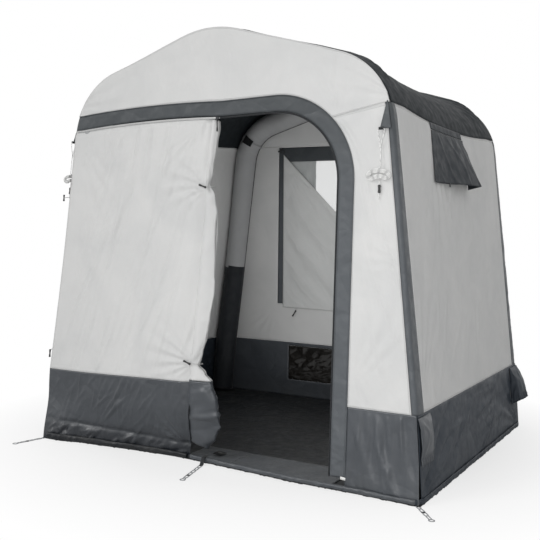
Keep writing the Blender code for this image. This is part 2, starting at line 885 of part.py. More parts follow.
def rear_gable_surface(u, v):
    edge = half_width(REAR_SEAM_HEIGHT, INSIDE)
    foot_x = mix(edge, -edge, u)
    top_x = foot_x * 0.985
    z = mix(REAR_SEAM_HEIGHT + SEAM, roof_z(top_x, INSIDE), v)
    return rear_point(mix(foot_x, top_x, v), z)


def rear_band_surface(u, v):
    z = mix(FLOOR, BAND_TOP - SEAM, v)
    edge = half_width(z, INSIDE)
    return rear_point(mix(edge, -edge, u), z)


def rear_hole(name, half_x, low, high):
    return box_cutter(name, (-half_x, DEPTH / 2 - 0.2, low), (half_x, DEPTH / 2 + 0.1, high))


rear_wall = panel("rear_wall", rear_wall_surface, 6, 6, "light_cloth")
combine(rear_wall, rear_hole("window_hole", WINDOW_HALF_WIDTH, WINDOW_LOW, WINDOW_HIGH), "DIFFERENCE")
panel("rear_gable", rear_gable_surface, 14, 3, "light_cloth")
rear_band = panel("rear_mud_band", rear_band_surface, 4, 2, "dark_cloth")
combine(rear_band, rear_hole("vent_hole", VENT_HALF_WIDTH, VENT_LOW, VENT_HIGH), "DIFFERENCE")

border = panel("window_border", rear_rectangle(-WINDOW_HALF_WIDTH + SEAM, WINDOW_HALF_WIDTH - SEAM,
               WINDOW_LOW + SEAM, WINDOW_HIGH - SEAM), 1, 1, "trim_cloth")
PANE_HALF = WINDOW_HALF_WIDTH - WINDOW_SIDE
PANE_LOW = WINDOW_LOW + WINDOW_SILL
PANE_HIGH = WINDOW_HIGH - WINDOW_HEAD
combine(border, rear_hole("pane_hole", PANE_HALF, PANE_LOW, PANE_HIGH), "DIFFERENCE")
panel("window_film", rear_rectangle(-PANE_HALF + SEAM, PANE_HALF - SEAM, PANE_LOW + SEAM,
      PANE_HIGH - SEAM), 1, 1, "clear_film", thickness=FILM)
panel("low_vent_panel", rear_rectangle(-VENT_HALF_WIDTH + SEAM, VENT_HALF_WIDTH - SEAM,
      VENT_LOW + SEAM, VENT_HIGH - SEAM), 4, 1, "black_film")


# Curtain inside the window, hinged at its left edge: its free corner has dropped, so its head runs
# down a diagonal
curtain_middle = (CURTAIN_HEAD + CURTAIN_FOOT) / 2
curtain_pivot = pivot("curtain_pivot", rear_point(CURTAIN_LEFT, curtain_middle, -1.5 * CLOTH - SEAM))


def curtain_surface(u, v):
    """Seen from the room, so u runs from left to right."""
    foot_left = Vector((CURTAIN_LEFT, CURTAIN_FOOT))
    foot_right = Vector((CURTAIN_RIGHT, CURTAIN_FOOT))
    head_left = Vector((CURTAIN_LEFT, CURTAIN_HEAD))
    head_right = head_left.lerp(foot_right, 0.5)
    point = foot_left.lerp(foot_right, u).lerp(head_left.lerp(head_right, u), v)
    across = (point - foot_left).dot(Vector((1, 1)).normalized())
    crease = CURTAIN_CREASE * (0.5 - 0.5 * cos(2 * pi * CURTAIN_CREASES * across / 0.80))
    crease *= smooth(v * 5) * smooth((1 - v) * 4) * smooth(u * 6)
    return rear_point(point.x, point.y, -2 * CLOTH - SEAM - crease)


panel("window_curtain", curtain_surface, 15, 10, "light_cloth", parent=curtain_pivot)


# Outer blind, drawn to one side outside the film, in upright folds
def blind_surface(u, v):
    x = mix(BLIND_RIGHT, BLIND_LEFT, u)
    fold = BLIND_FOLD_DEPTH * (0.5 - 0.5 * cos(2 * pi * BLIND_FOLDS * u)) * smooth((1 - v) * 6)
    z = mix(PANE_LOW - 0.02, PANE_HIGH + 0.02, v)
    return rear_point(x, z, SEAM + CLOTH + fold)


panel("window_blind", blind_surface, 15, 4, "light_cloth")


# Vent on the right wall: an opening filled with mesh, under a hood held out at its rear corner
right_wall = bpy.data.objects["right_wall"]
MESH_LOW = HOOD_TOP - HOOD_DROP + MESH_MARGIN
MESH_HIGH = HOOD_TOP - MESH_MARGIN / 2
MESH_FRONT = HOOD_FRONT + MESH_MARGIN
MESH_REAR = HOOD_REAR - MESH_MARGIN
reach_out = WIDTH / 2
combine(right_wall, box_cutter("mesh_hole", (reach_out - 0.4, MESH_FRONT, MESH_LOW),
        (reach_out + 0.1, MESH_REAR, MESH_HIGH)), "DIFFERENCE")


def right_wall_point(y, z, out=0.0):
    s = arch_s(z)
    point, normal = arch_at(s)
    point = point + normal * (out - slack(s, y))
    return Vector((point.x, y, point.y))


def mesh_surface(u, v):
    y = mix(MESH_FRONT + 2 * SEAM, MESH_REAR - 2 * SEAM, u)
    return right_wall_point(y, mix(MESH_LOW + 4 * SEAM, MESH_HIGH - 4 * SEAM, v), -SEAM)


panel("vent_mesh", mesh_surface, 6, 3, "black_film", thickness=0.0015)

hood_pivot = pivot("vent_hood_pivot", right_wall_point(HOOD_FRONT, HOOD_TOP, SEAM))


def hood_surface(u, v):
    y = mix(HOOD_FRONT, HOOD_REAR, u)
    drop = 1 - v
    out = mix(HOOD_OUT_FRONT, HOOD_OUT_REAR, u) * drop
    return right_wall_point(y, HOOD_TOP - HOOD_DROP * drop, out + SEAM + CLOTH + 0.001 * drop)


panel("vent_hood", hood_surface, 8, 6, "dark_cloth", parent=hood_pivot)


# Air beams: an outer sleeve, the air-tight bladder inside it, and a valve near each right foot
def beam_point(side, s, end):
    """Centre of the beam at arc length s, on the right or left half, front or rear."""
    point, normal = arch_at(s)
    y = end * (face_y(point.y) - BEAM_FACE_INSET)
    return Vector((side * (point.x - normal.x * BEAM_INSET), y, point.y - normal.y * BEAM_INSET))


def beam_path(end, foot_height):
    stops = [arch_s(foot_height), BAND_S]
    stops += steps(SHOULDER_S, ROOF_S, 7) + [ROOF_S] + steps(RIDGE_S, ARCH_LENGTH, 3)
    right = [beam_point(1, s, end) for s in stops]
    left = [beam_point(-1, s, end) for s in reversed(stops)]
    return right + [beam_point(1, ARCH_LENGTH, end)] + left


BLADDER_RADIUS = (SLEEVE_RADIUS - SLEEVE_WALL) * cos(pi / SLEEVE_SIDES) - BLADDER_SLACK
valve_s = arch_s(VALVE_HEIGHT)
valve_out = Vector((arch_at(valve_s)[1].x, 0, arch_at(valve_s)[1].y))


for end, word in ((-1, "front"), (1, "rear")):
    centre = beam_point(1, valve_s, end)
    seat = centre + valve_out * (BLADDER_RADIUS + SEAM)
    sleeve = to_mesh(tube(word + "_beam_sleeve", beam_path(end, SLEEVE_FOOT), SLEEVE_RADIUS,
                          "light_cloth", SLEEVE_SIDES, capped=False))
    wall = sleeve.modifiers.new("thickness", "SOLIDIFY")
    wall.thickness = SLEEVE_WALL
    wall.offset = -1
    reach = centre + valve_out * SLEEVE_RADIUS
    hole_radius = VALVE_RADIUS + HOLE_CLEARANCE
    hole = rod_cutter(word + "_valve_hole", reach, valve_out, hole_radius, 0.05)
    combine(sleeve, hole, "DIFFERENCE")
    combine(bpy.data.objects["right_mud_band"], hole, "DIFFERENCE")
    bladder = to_mesh(tube(word + "_beam_bladder", beam_path(end, BLADDER_FOOT), BLADDER_RADIUS,
                           "bladder_film", BLADDER_SIDES))
    film = bladder.modifiers.new("thickness", "SOLIDIFY")
    film.thickness = BLADDER_FILM
    film.offset = -1
    port = rod_cutter(word + "_air_port", seat, valve_out, STEM_RADIUS + STEM_CLEARANCE, 0.02, 12)
    combine(bladder, port, "DIFFERENCE")

    body = [(VALVE_RADIUS, VALVE_LENGTH), (VALVE_RADIUS, 0.0), (STEM_RADIUS + STEM_CLEARANCE, 0.0),
            (STEM_RADIUS + STEM_CLEARANCE, VALVE_FLOOR), (VALVE_BORE, VALVE_FLOOR),
            (VALVE_BORE, VALVE_LENGTH)]
    turned(word + "_valve_body", body, seat, valve_out, "grey_plastic")

    plunger_pivot = pivot(word + "_plunger_pivot", seat)
    head = VALVE_FLOOR + PLUNGER_TRAVEL + STEM_CLEARANCE
    plunger = [(0.0, head + 0.002), (PLUNGER_RADIUS, head + 0.002), (PLUNGER_RADIUS, head),
               (STEM_RADIUS, head), (STEM_RADIUS, PLUNGER_TRAVEL + 0.001), (0.0, PLUNGER_TRAVEL + 0.001)]
    turned(word + "_valve_plunger", plunger, seat, valve_out, "grey_plastic", plunger_pivot)

    cap_pivot = pivot(word + "_cap_pivot", seat)
    top = VALVE_LENGTH + SEAM
    cap = [(0.0, top + CAP_THICKNESS), (CAP_RADIUS, top + CAP_THICKNESS), (CAP_RADIUS, top),
           (VALVE_BORE - STEM_CLEARANCE, top), (VALVE_BORE - STEM_CLEARANCE, top - CAP_PLUG),
           (0.0, top - CAP_PLUG)]
    turned(word + "_valve_cap", cap, seat, valve_out, "grey_plastic", cap_pivot)


# Pocket flaps over the valves, hinged along their top edge
def band_point(y, z, out):
    point, normal = arch_at(arch_s(z))
    return Vector((point.x + normal.x * out, y, point.y + normal.y * out))


def pocket_surface(middle, hem, flare):
    def surface(u, v):
        drop = 1 - v
        dome = sin(pi * mix(0.06, 0.94, u)) ** 0.5
        bulge = POCKET_BULGE * sin(pi * min(drop * 1.05, 1.0)) ** 0.7 if drop > 0 else 0.0
        bulge = max(bulge, hem * smooth(drop * 2)) * dome
        out = bulge + flare * drop
        y = middle + POCKET_WIDTH * (u - 0.5)
        return band_point(y, mix(POCKET_FOOT, POCKET_TOP, v), SEAM + CLOTH + out)
    return surface


for end, word in ((-1, "front"), (1, "rear")):
    middle = end * (face_y(VALVE_HEIGHT) - BEAM_FACE_INSET)
    flap_pivot = pivot(word + "_pocket_pivot", band_point(middle, POCKET_TOP, SEAM + CLOTH))
    flare = POCKET_FLARE if end > 0 else 0.0
    panel(word + "_valve_pocket_flap", pocket_surface(middle, POCKET_HEM, flare), 8, 7, "dark_cloth",
          parent=flap_pivot)


# Hook-and-loop tie round the room side of the rear beam at its left shoulder
def tie_surface(u, v):
    s = arch_s(TIE_HEIGHT) + TIE_WIDTH * (v - 0.5)
    centre = beam_point(-1, s, 1)
    normal = arch_at(s)[1]
    into_room = Vector((normal.x, 0, -normal.y))
    angle = mix(TIE_TO, TIE_FROM, u)
    out = into_room * cos(angle) + Vector((0, -1, 0)) * sin(angle)
    return centre + out * (SLEEVE_RADIUS + TIE_CLEARANCE + CLOTH)


panel("rear_beam_tie", tie_surface, 10, 1, "black_plastic")


# Guy ropes at the two front corners: the right one on the front face, the left one on the side wall,
# clear of the door
class GuyPlace:
    """Directions at a guy rope's gusset: across it, up the rope, and out of the cloth."""

    def __init__(self, word):
        self.on_front = word == "right"
        self.foot_s = arch_s(GUSSET_FOOT)
        if self.on_front:
            self.origin = front_point(LOOP_X, GUSSET_FOOT)
            self.across, self.up, self.out = Vector((1, 0, 0)), Vector((0, 0, 1)), Vector((0, -1, 0))
        else:
            edge = half_width(GUSSET_FOOT)
            y = GUSSET_SET_BACK - (GUSSET_X - LOOP_X) - face_y(GUSSET_FOOT)
            self.origin = Vector((-edge, y, GUSSET_FOOT))
            self.across = Vector((0, -1, 0))
            self.up = Vector((sin(WALL_LEAN), 0, cos(WALL_LEAN)))
            self.out = Vector((-cos(WALL_LEAN), 0, sin(WALL_LEAN)))

    def gusset(self, u, v):
        middle = GUSSET_X - LOOP_X
        raised = SEAM + CLOTH + GUSSET_RAISE * (1 - v)
        if self.on_front:
            across = middle + GUSSET_WIDTH * (u - 0.5) * mix(1.0, GUSSET_TIP, v)
            return front_point(LOOP_X + across, mix(GUSSET_FOOT, GUSSET_TOP, v), raised)
        across = GUSSET_WIDTH * (u - 0.5) * mix(1.0, GUSSET_TIP, v) - middle
        point, normal = arch_at(self.foot_s + (GUSSET_TOP - GUSSET_FOOT) * v)
        point = point + normal * (raised + SEAM)
        return Vector((-point.x, self.origin.y - across, point.y))

    def at(self, across, height, layer=0.0):
        """A point of the rope: across it, above the gusset's foot, and by layer."""
        out = SEAM + CLOTH + GUSSET_RAISE + LOOP_RADIUS * LOOP_SINK - layer
        return self.origin + self.across * across + self.up * height + self.out * out


def spline_points(route, count):
    """Points of a smooth curve through the route's own points."""
    ends = [2 * route[0] - route[1]] + route + [2 * route[-1] - route[-2]]
    pieces = len(route) - 1
    found = []
    for k in range(count + 1):
        place = min(k / count * pieces, pieces - 1e-9)
        i = int(place)
        t = place - i
        a, b, c, d = ends[i:i + 4]
        found.append(0.5 * ((2 * b) + (c - a) * t + (2 * a - 5 * b + 4 * c - d) * t ** 2
                            + (3 * b - a - 3 * c + d) * t ** 3))
    return found


def bight_route():
    """From the short end beside the join, up through the webbing loop and down to the hank."""
    seat = -(LOOP_BORE - ROPE_DIAMETER / 2 - SEAM)
    side = LOOP_LENGTH / 2 + ROPE_DIAMETER
    return [(-0.0047, -ROPE_JOIN), (-0.0052, 0.014 - ROPE_JOIN), (-0.0120, seat - 0.030),
            (-side, seat - 0.010), (-side + 0.0015, seat - 0.001), (-0.0070, seat),
            (0.0070, seat), (side - 0.0015, seat - 0.001), (side, seat - 0.010),
            (0.0110, seat - 0.030), (0.0010, 0.012 - ROPE_JOIN), (0.0, -0.004 - ROPE_JOIN),
            (0.0, -0.030 - ROPE_JOIN), (0.0, HANK_TOP + SEAM + 0.010), (0.0, HANK_TOP + SEAM)]


def hank_base(angle):
    """The inmost loop: long and low, swollen at both ends and drawn in at its waist."""
    rise = sin(angle)
    return Vector((HANK_REACH * cos(angle), HANK_SWELL * rise * (1 - HANK_WAIST * rise * rise)))


def hank_loop(angle, layers_out):
    step = 0.001
    along = (hank_base(angle + step) - hank_base(angle - step)).normalized()
    return hank_base(angle) + Vector((along.y, -along.x)) * layers_out * HANK_PITCH


def droop(flat, y):
    """Bend the flat loops over an arc, so that both ends hang down."""
    turn = flat.x / HANK_DROOP_RADIUS
    radius = HANK_DROOP_RADIUS + flat.y
    return Vector((radius * sin(turn), y, radius * cos(turn) - HANK_DROOP_RADIUS))


def hank_route():
    """Loops wind in on the front layer, cross to the rear layer, and wind out again."""
    turns = 2 * HANK_LOOPS - 0.5
    middle = turns / 2
    samples = int(turns * 24)
    points = []
    for k in range(samples + 1):
        turned_by = turns * k / samples
        angle = pi / 2 + 2 * pi * turned_by
        out = abs(turned_by - middle)
        climb = smooth((turned_by - middle + 0.25) / 0.5)
        points.append(droop(hank_loop(angle, out), mix(-HANK_LAYER / 2, HANK_LAYER / 2, climb)))
    return points


def hank_points():
    loops = hank_route()
    first, last = loops[0], loops[-1]
    lead = 2.2 * ROPE_DIAMETER
    start = [first + Vector((lead, 0, lead * 2.1)), first + Vector((lead, 0, lead * 1.1)),
             first + Vector((lead * 0.75, 0, lead * 0.35))]
    finish_run = [last + Vector((lead * 0.25, 0, -lead * 0.35)), last + Vector((lead * 0.45, 0, -lead * 1.1)),
                  last + Vector((lead * 0.45, 0, -lead * 2.1))]
    points = start + loops[1:-1] + finish_run
    shift = Vector((points[0].x, points[0].y, 0))
    return [point - shift for point in points]


HANK = hank_points()
HANK_TOP = HANK[0].z - HANK_DROP
HANK_FOOT = HANK[-1].z - HANK_DROP


def least_gap(points, diameter):
    """Least clear distance of a wound rope to itself, on points away from each other along it."""
    least = 1.0
    length = [0.0]
    for first, second in zip(points, points[1:]):
        length.append(length[-1] + (second - first).length)
    for i, first in enumerate(points):
        for j in range(i + 1, len(points) - 1):
            if length[j] - length[i] < 4 * diameter:
                continue
            along = points[j + 1] - points[j]
            share = min(max((first - points[j]).dot(along) / along.length_squared, 0), 1)
            least = min(least, (points[j] + along * share - first).length)
    return least - diameter


print(f"hank: least gap of the rope to itself {least_gap(HANK, ROPE_DIAMETER) * 1000:.2f} mm")
rope_length = sum((b - a).length for a, b in zip(HANK, HANK[1:]))
print(f"hank: {rope_length:.3f} m of rope")


for word in ("right", "left"):
    place = GuyPlace(word)
    sewn = panel("guy_gusset_" + word, place.gusset, 2, 4, "trim_cloth")
    loop_at = place.at(0, 0)
    loop = rod_cutter("webbing_loop_" + word, loop_at, place.across, LOOP_RADIUS, LOOP_LENGTH, 16)
    bore = rod_cutter("webbing_bore_" + word, loop_at, place.across, LOOP_BORE, LOOP_LENGTH * 3, 16)
    combine(sewn, loop, "UNION")
    combine(sewn, bore, "DIFFERENCE")

    bight = spline_points([place.at(across, height) for across, height in bight_route()], 38)
    tube("guy_rope_" + word, bight, ROPE_DIAMETER / 2, "white_rope", ROPE_SIDES)
    hank = [place.at(point.x, point.z - HANK_DROP, point.y) for point in HANK]
    tube("guy_hank_" + word, hank, ROPE_DIAMETER / 2, "white_rope", HANK_SIDES)
    tail_length = RUNNER_DROP + RUNNER_LENGTH + TAIL_END
    tail = [place.at(HANK[-1].x, HANK_FOOT - SEAM - tail_length * k / 6, HANK[-1].y) for k in range(7)]
    tube("guy_tail_" + word, tail, ROPE_DIAMETER / 2, "white_rope", ROPE_SIDES)

    middle = place.at(HANK[-1].x, HANK_FOOT - SEAM - RUNNER_DROP - RUNNER_LENGTH / 2, HANK[-1].y)
    runner_pivot = pivot("guy_runner_pivot_" + word, middle)
    inner = ROPE_DIAMETER / 2 + RUNNER_CLEARANCE
    half = RUNNER_LENGTH / 2
    profile = [(RUNNER_RADIUS * 0.7, half), (RUNNER_RADIUS, half * 0.8), (RUNNER_RADIUS * 0.78, 0.0),
               (RUNNER_RADIUS, -half * 0.8), (RUNNER_RADIUS * 0.7, -half), (inner, -half), (inner, half)]
    turned("guy_runner_" + word, profile, middle, place.up, "black_plastic", runner_pivot, 12)


# Ladder straps for the pegs, flat on the ground, each swinging up about its own end
def ladder(name, x, heading, length):
    direction = radians(heading)
    half = LADDER_WIDTH / 2
    y = -DEPTH / 2 - LADDER_GAP - half * abs(cos(direction))
    base = Vector((x, y, LADDER_LIFT + LADDER_THICKNESS / 2))
    strap_pivot = pivot(name + "_pivot", base + Vector((0, 0, LADDER_THICKNESS / 2)))
    ring_middle = length - LADDER_RING
    outer = [(0.0, half), (0.0, -half), (ring_middle - LADDER_RING * 0.9, -half)]
    for k in range(13):
        angle = -pi * 0.72 + 2 * pi * 0.72 * k / 12
        outer.append((ring_middle + LADDER_RING * cos(angle), LADDER_RING * sin(angle)))
    outer.append((ring_middle - LADDER_RING * 0.9, half))
    inner_ring = LADDER_RING - LADDER_RAIL
    hole = [(ring_middle + inner_ring * cos(2 * pi * k / 12), inner_ring * sin(2 * pi * k / 12))
            for k in range(12)]
    loops = [outer, hole]
    count = int((ring_middle - LADDER_RING - LADDER_RUNG) / LADDER_PITCH)
    for k in range(count):
        low = LADDER_RUNG + k * LADDER_PITCH
        high = low + LADDER_PITCH - LADDER_RUNG
        inside = half - LADDER_RAIL
        loops.append([(low, -inside), (high, -inside), (high, inside), (low, inside)])
    strap = flat_outline(name, loops, LADDER_THICKNESS, "grey_plastic")
    strap.location = base
    strap.rotation_euler.z = direction
    bpy.context.view_layer.update()
    world = strap.matrix_world.copy()
    strap.parent = strap_pivot
    strap.matrix_parent_inverse = strap_pivot.matrix_world.inverted()
    strap.matrix_world = world


for name, (x, heading, length) in LADDERS.items():
    ladder(name, x, heading, length)
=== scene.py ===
"""Looks of the inflatable storage tent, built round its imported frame. Metres, +Z up, the front faces -Y."""
from math import atan2, ceil, cos, hypot, pi, radians, sin, tan
import bmesh
import bpy
import numpy as np
from mathutils import Matrix, Vector, noise


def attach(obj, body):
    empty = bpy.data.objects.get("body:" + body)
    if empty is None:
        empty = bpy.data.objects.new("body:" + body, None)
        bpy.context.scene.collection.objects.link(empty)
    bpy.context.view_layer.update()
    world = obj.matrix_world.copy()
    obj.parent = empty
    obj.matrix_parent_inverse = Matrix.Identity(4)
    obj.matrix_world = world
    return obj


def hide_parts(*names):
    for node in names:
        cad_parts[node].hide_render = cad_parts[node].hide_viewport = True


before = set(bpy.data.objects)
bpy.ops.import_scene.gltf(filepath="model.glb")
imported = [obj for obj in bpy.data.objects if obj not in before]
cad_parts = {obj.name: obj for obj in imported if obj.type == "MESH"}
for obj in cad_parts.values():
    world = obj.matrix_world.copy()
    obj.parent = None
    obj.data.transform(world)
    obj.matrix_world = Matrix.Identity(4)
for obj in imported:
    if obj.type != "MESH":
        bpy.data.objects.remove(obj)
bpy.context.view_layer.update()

# Sizes, as the frame has them
WIDTH, DEPTH, HEIGHT = 2.20, 1.80, 2.16
BAND_TOP, BAND_DRAW_IN = 0.385, 0.033
WALL_LEAN, FACE_LEAN, ROOF_PITCH = radians(6.8), 0.0175, radians(17.2)
SHOULDER_RADIUS, RIDGE_RADIUS = 0.376, 0.56
EAVE_HEIGHT, EAVE_DIP, ROOF_SAG, SLACK_START = 1.745, 0.028, 0.050, 1.20
CLOTH, SEAM, CURVED_SEAM, GROUND_THICKNESS = 0.003, 0.0003, 0.0015, 0.003
SLEEVE_RADIUS = 0.0735
STRIP_SIDE_LOW, STRIP_SIDE_HIGH, STRIP_RETURN, STRIP_ROUND = 0.085, 0.045, 0.026, 0.016
DOOR_LEG_X, DOOR_TOP, DOOR_FALL, DOOR_CORNER_RADIUS, DOOR_FOOT = 0.660, 1.732, 0.034, 0.33, 0.060
TRIM_WIDTH, ZIP_WIDTH = 0.075, 0.009
FOLD_X_TOP, FOLD_LEAN, FOLD_TOP, FOLD_FOOT = -0.029, 0.0763, 1.700, 0.078
SILL_DEPTH, SILL_LEFT, SILL_SPLIT, SILL_RIGHT, SILL_SET_IN = 0.300, -0.20, 0.075, 0.652, 0.010
WINDOW_HALF_WIDTH, WINDOW_LOW, WINDOW_HIGH, REAR_SEAM_HEIGHT = 0.610, 0.655, 1.755, 1.765
WINDOW_SIDE, WINDOW_HEAD, WINDOW_SILL = 0.055, 0.100, 0.045
CURTAIN_LEFT, CURTAIN_RIGHT, CURTAIN_HEAD, CURTAIN_FOOT = -0.592, 0.545, 1.705, 0.640
BLIND_LEFT, BLIND_RIGHT = -0.548, -0.320
VENT_HALF_WIDTH, VENT_LOW, VENT_HIGH = 0.515, 0.120, 0.362
HOOD_FRONT, HOOD_REAR, HOOD_TOP, HOOD_DROP = -0.351, 0.170, 1.682, 0.262
HOOD_OUT_REAR, MESH_MARGIN = 0.078, 0.055
VALVE_HEIGHT = 0.265
POCKET_WIDTH, POCKET_TOP, POCKET_FOOT, POCKET_BULGE = 0.157, 0.374, 0.168, 0.026
POCKET_HEM, POCKET_FLARE = 0.012, 0.074
TIE_WIDTH, TIE_HEIGHT = 0.028, 1.84
GUSSET_X, GUSSET_TOP, GUSSET_FOOT, GUSSET_WIDTH = 0.883, 1.751, 1.628, 0.053
GUSSET_RAISE, GUSSET_TIP, GUSSET_SET_BACK = 0.012, 0.08, 0.030
LOOP_X, LOOP_RADIUS, LOOP_BORE, LOOP_LENGTH, LOOP_SINK = 0.864, 0.0062, 0.0032, 0.022, 0.4
ROPE_DIAMETER, ROPE_JOIN = 0.0035, 0.076
HANK_DROP, HANK_REACH, HANK_SWELL, HANK_WAIST = 0.196, 0.041, 0.0115, 0.76
HANK_PITCH, HANK_LAYER, HANK_DROOP_RADIUS, HANK_LOOPS = 0.0049, 0.0043, 0.070, 4
RUNNER_LENGTH, RUNNER_DROP, TAIL_END = 0.036, 0.012, 0.016
LADDERS = {"left": (-1.062, -102.0, 0.225), "middle": (-0.040, -76.0, 0.270),
           "right": (1.078, -52.0, 0.205)}
LADDER_WIDTH, LADDER_RING, LADDER_LIFT, LADDER_THICKNESS = 0.020, 0.014, 0.0006, 0.0022

# How fine the cloth is cut up, and how thick it is
STEP = 0.0125
FINE_STEP = min(STEP, 0.008)
ROLL_STEP = 0.008
SHEET = 0.0012


def mix(low, high, share):
    return low + (high - low) * share


def smooth(share):
    share = min(max(share, 0.0), 1.0)
    return share * share * (3 - 2 * share)


def pick(stops, place):
    """The value at a place along stops, where stop number 1 is at 1."""
    place = min(max(place, 0.0), len(stops) - 1 - 1e-9)
    i = int(place)
    return mix(stops[i], stops[i + 1], place - i)


# Outline of the tent, seen from the front, as a table along its length from the foot to the ridge
def outline_table():
    band = Vector((WIDTH / 2 - BAND_DRAW_IN, BAND_TOP))
    up_wall = Vector((-sin(WALL_LEAN), cos(WALL_LEAN)))
    up_roof = Vector((-cos(ROOF_PITCH), sin(ROOF_PITCH)))
    ridge_centre = Vector((0, HEIGHT - RIDGE_RADIUS))
    ridge_start = ridge_centre + RIDGE_RADIUS * Vector((sin(ROOF_PITCH), cos(ROOF_PITCH)))
    across = ridge_start - band
    corner = band + up_wall * (across.cross(up_roof) / up_wall.cross(up_roof))
    turn = pi / 2 - WALL_LEAN - ROOF_PITCH
    trim = SHOULDER_RADIUS * tan(turn / 2)
    shoulder = corner - up_wall * trim
    shoulder_centre = shoulder + Vector((-up_wall.y, up_wall.x)) * SHOULDER_RADIUS
    rows, marks, length = [], [], 0.0

    def straight(start, end):
        run = end - start
        normal = Vector((run.y, -run.x)).normalized()
        rows.extend((length + run.length * k / 40, *start.lerp(end, k / 40), *normal) for k in range(40))
        return run.length

    def bend(centre, radius, first, turned):
        for k in range(200):
            normal = Vector((cos(first + turned * k / 200), sin(first + turned * k / 200)))
            rows.append((length + radius * turned * k / 200, *(centre + radius * normal), *normal))
        return radius * turned

    for make, what in ((straight, (Vector((WIDTH / 2, 0)), band)), (straight, (band, shoulder)),
                       (bend, (shoulder_centre, SHOULDER_RADIUS, WALL_LEAN, turn)),
                       (straight, (corner + up_roof * trim, ridge_start)),
                       (bend, (ridge_centre, RIDGE_RADIUS, pi / 2 - ROOF_PITCH, ROOF_PITCH))):
        length += make(*what)
        marks.append(length)
    rows.append((length, 0, HEIGHT, 0, 1))
    return np.array(rows), marks


ROWS, (BAND_S, _, ROOF_S, RIDGE_S, ARCH_LENGTH) = outline_table()
TABLE_COUNT = 4000
TABLE_S = np.linspace(0, ARCH_LENGTH, TABLE_COUNT + 1)
TABLE = np.stack([np.interp(TABLE_S, ROWS[:, 0], ROWS[:, k]) for k in (1, 2, 3, 4)], 1)
FLAT_TABLE = [tuple(row) for row in TABLE.tolist()]
INSIDE = CLOTH + CURVED_SEAM
INSIDE_X, INSIDE_Z = TABLE[:, 0] - TABLE[:, 2] * INSIDE, TABLE[:, 1] - TABLE[:, 3] * INSIDE


def arch_at(s, inset=0.0):
    """Point (x, z) and outward normal at a length along the outline, moved in by inset."""
    place = min(max(s / ARCH_LENGTH * TABLE_COUNT, 0), TABLE_COUNT - 1e-6)
    i = int(place)
    t = place - i
    (x0, z0, a0, c0), (x1, z1, a1, c1) = FLAT_TABLE[i], FLAT_TABLE[i + 1]
    normal = Vector((a0 + (a1 - a0) * t, c0 + (c1 - c0) * t))
    return Vector((x0 + (x1 - x0) * t, z0 + (z1 - z0) * t)) - normal * inset, normal


def arch_s(z):
    return float(np.interp(z, TABLE[:, 1], TABLE_S))


def half_width(z, inside=False):
    if inside:
        return float(np.interp(z, INSIDE_Z, INSIDE_X))
    return float(np.interp(z, TABLE[:, 1], TABLE[:, 0]))


def roof_z(x):
    return float(np.interp(-abs(x), -INSIDE_X, INSIDE_Z))


def face_y(z):
    return DEPTH / 2 - FACE_LEAN * z


def front_point(x, z, out=0.0):
    return Vector((x, -face_y(z) - out, z))


def rear_point(x, z, out=0.0):
    return Vector((x, face_y(z) + out, z))


BEAM_INSET = INSIDE + SLEEVE_RADIUS
BEAM_FACE_INSET = CLOTH + SEAM + SLEEVE_RADIUS
TAUT_Y = face_y(HEIGHT) - BEAM_INSET - SLEEVE_RADIUS - 0.01
EAVE_S = arch_s(EAVE_HEIGHT)
SLACK_S = arch_s(SLACK_START)
FLOOR = GROUND_THICKNESS + SEAM
ARC_X, ARC_Z = DOOR_LEG_X - DOOR_CORNER_RADIUS, DOOR_TOP - DOOR_CORNER_RADIUS


def slack(s, y):
    free = max(0.0, 1 - (y / TAUT_Y) ** 2)
    return ROOF_SAG * free * smooth((s - SLACK_S) / (ARCH_LENGTH - SLACK_S))


def eave_height(y):
    return EAVE_HEIGHT - EAVE_DIP * max(0.0, 1 - (y / TAUT_Y) ** 2)


def side_surface(side, s, y, out=0.0):
    point, normal = arch_at(s)
    point = point + normal * (out - slack(s, y))
    return Vector((side * point.x, y, point.y))


RIDGE_DRIFT, DRIFT_START = 0.045, 2.00
LEFT_SIDE, LEFT_BOW, LEFT_FOOT, LEFT_FOOT_HEIGHT = -0.8, 0.010, 0.026, 0.40


def settle(point):
    """Air beams are never quite even: the ridge has drifted left and the left side draws in."""
    x, y, z = point
    drift = RIDGE_DRIFT * smooth((z - DRIFT_START) / 0.15)
    bow = 0.0
    if x < LEFT_SIDE and BAND_TOP < z < EAVE_HEIGHT:
        bow = LEFT_BOW * sin(pi * (z - BAND_TOP) / (EAVE_HEIGHT - BAND_TOP)) * smooth((LEFT_SIDE - x) / 0.2)
    foot = LEFT_FOOT * (1 - smooth(z / LEFT_FOOT_HEIGHT)) * smooth((-0.9 - x) / 0.2) * smooth((0.6 - y) / 1.4)
    return Vector((x - drift + bow + foot, y, z))


# Wrinkles: each returns a height in metres for a place (a, b) on the flat cloth
def swell(a, b, size, seed, tall=1.0):
    return noise.noise(Vector((a / size, b / (size * tall), seed)))


def crest(a, b, size, seed, tall=1.0):
    """Thin ridges between soft hollows, 0 to 1."""
    drift = 0.5 * size * noise.noise(Vector((a / size / 2, b / size / 2, seed + 31)))
    ridge = noise.noise(Vector(((a + drift) / size, (b - drift) / (size * tall), seed)))
    return max(0.0, 1 - 3.2 * abs(ridge)) ** 1.6


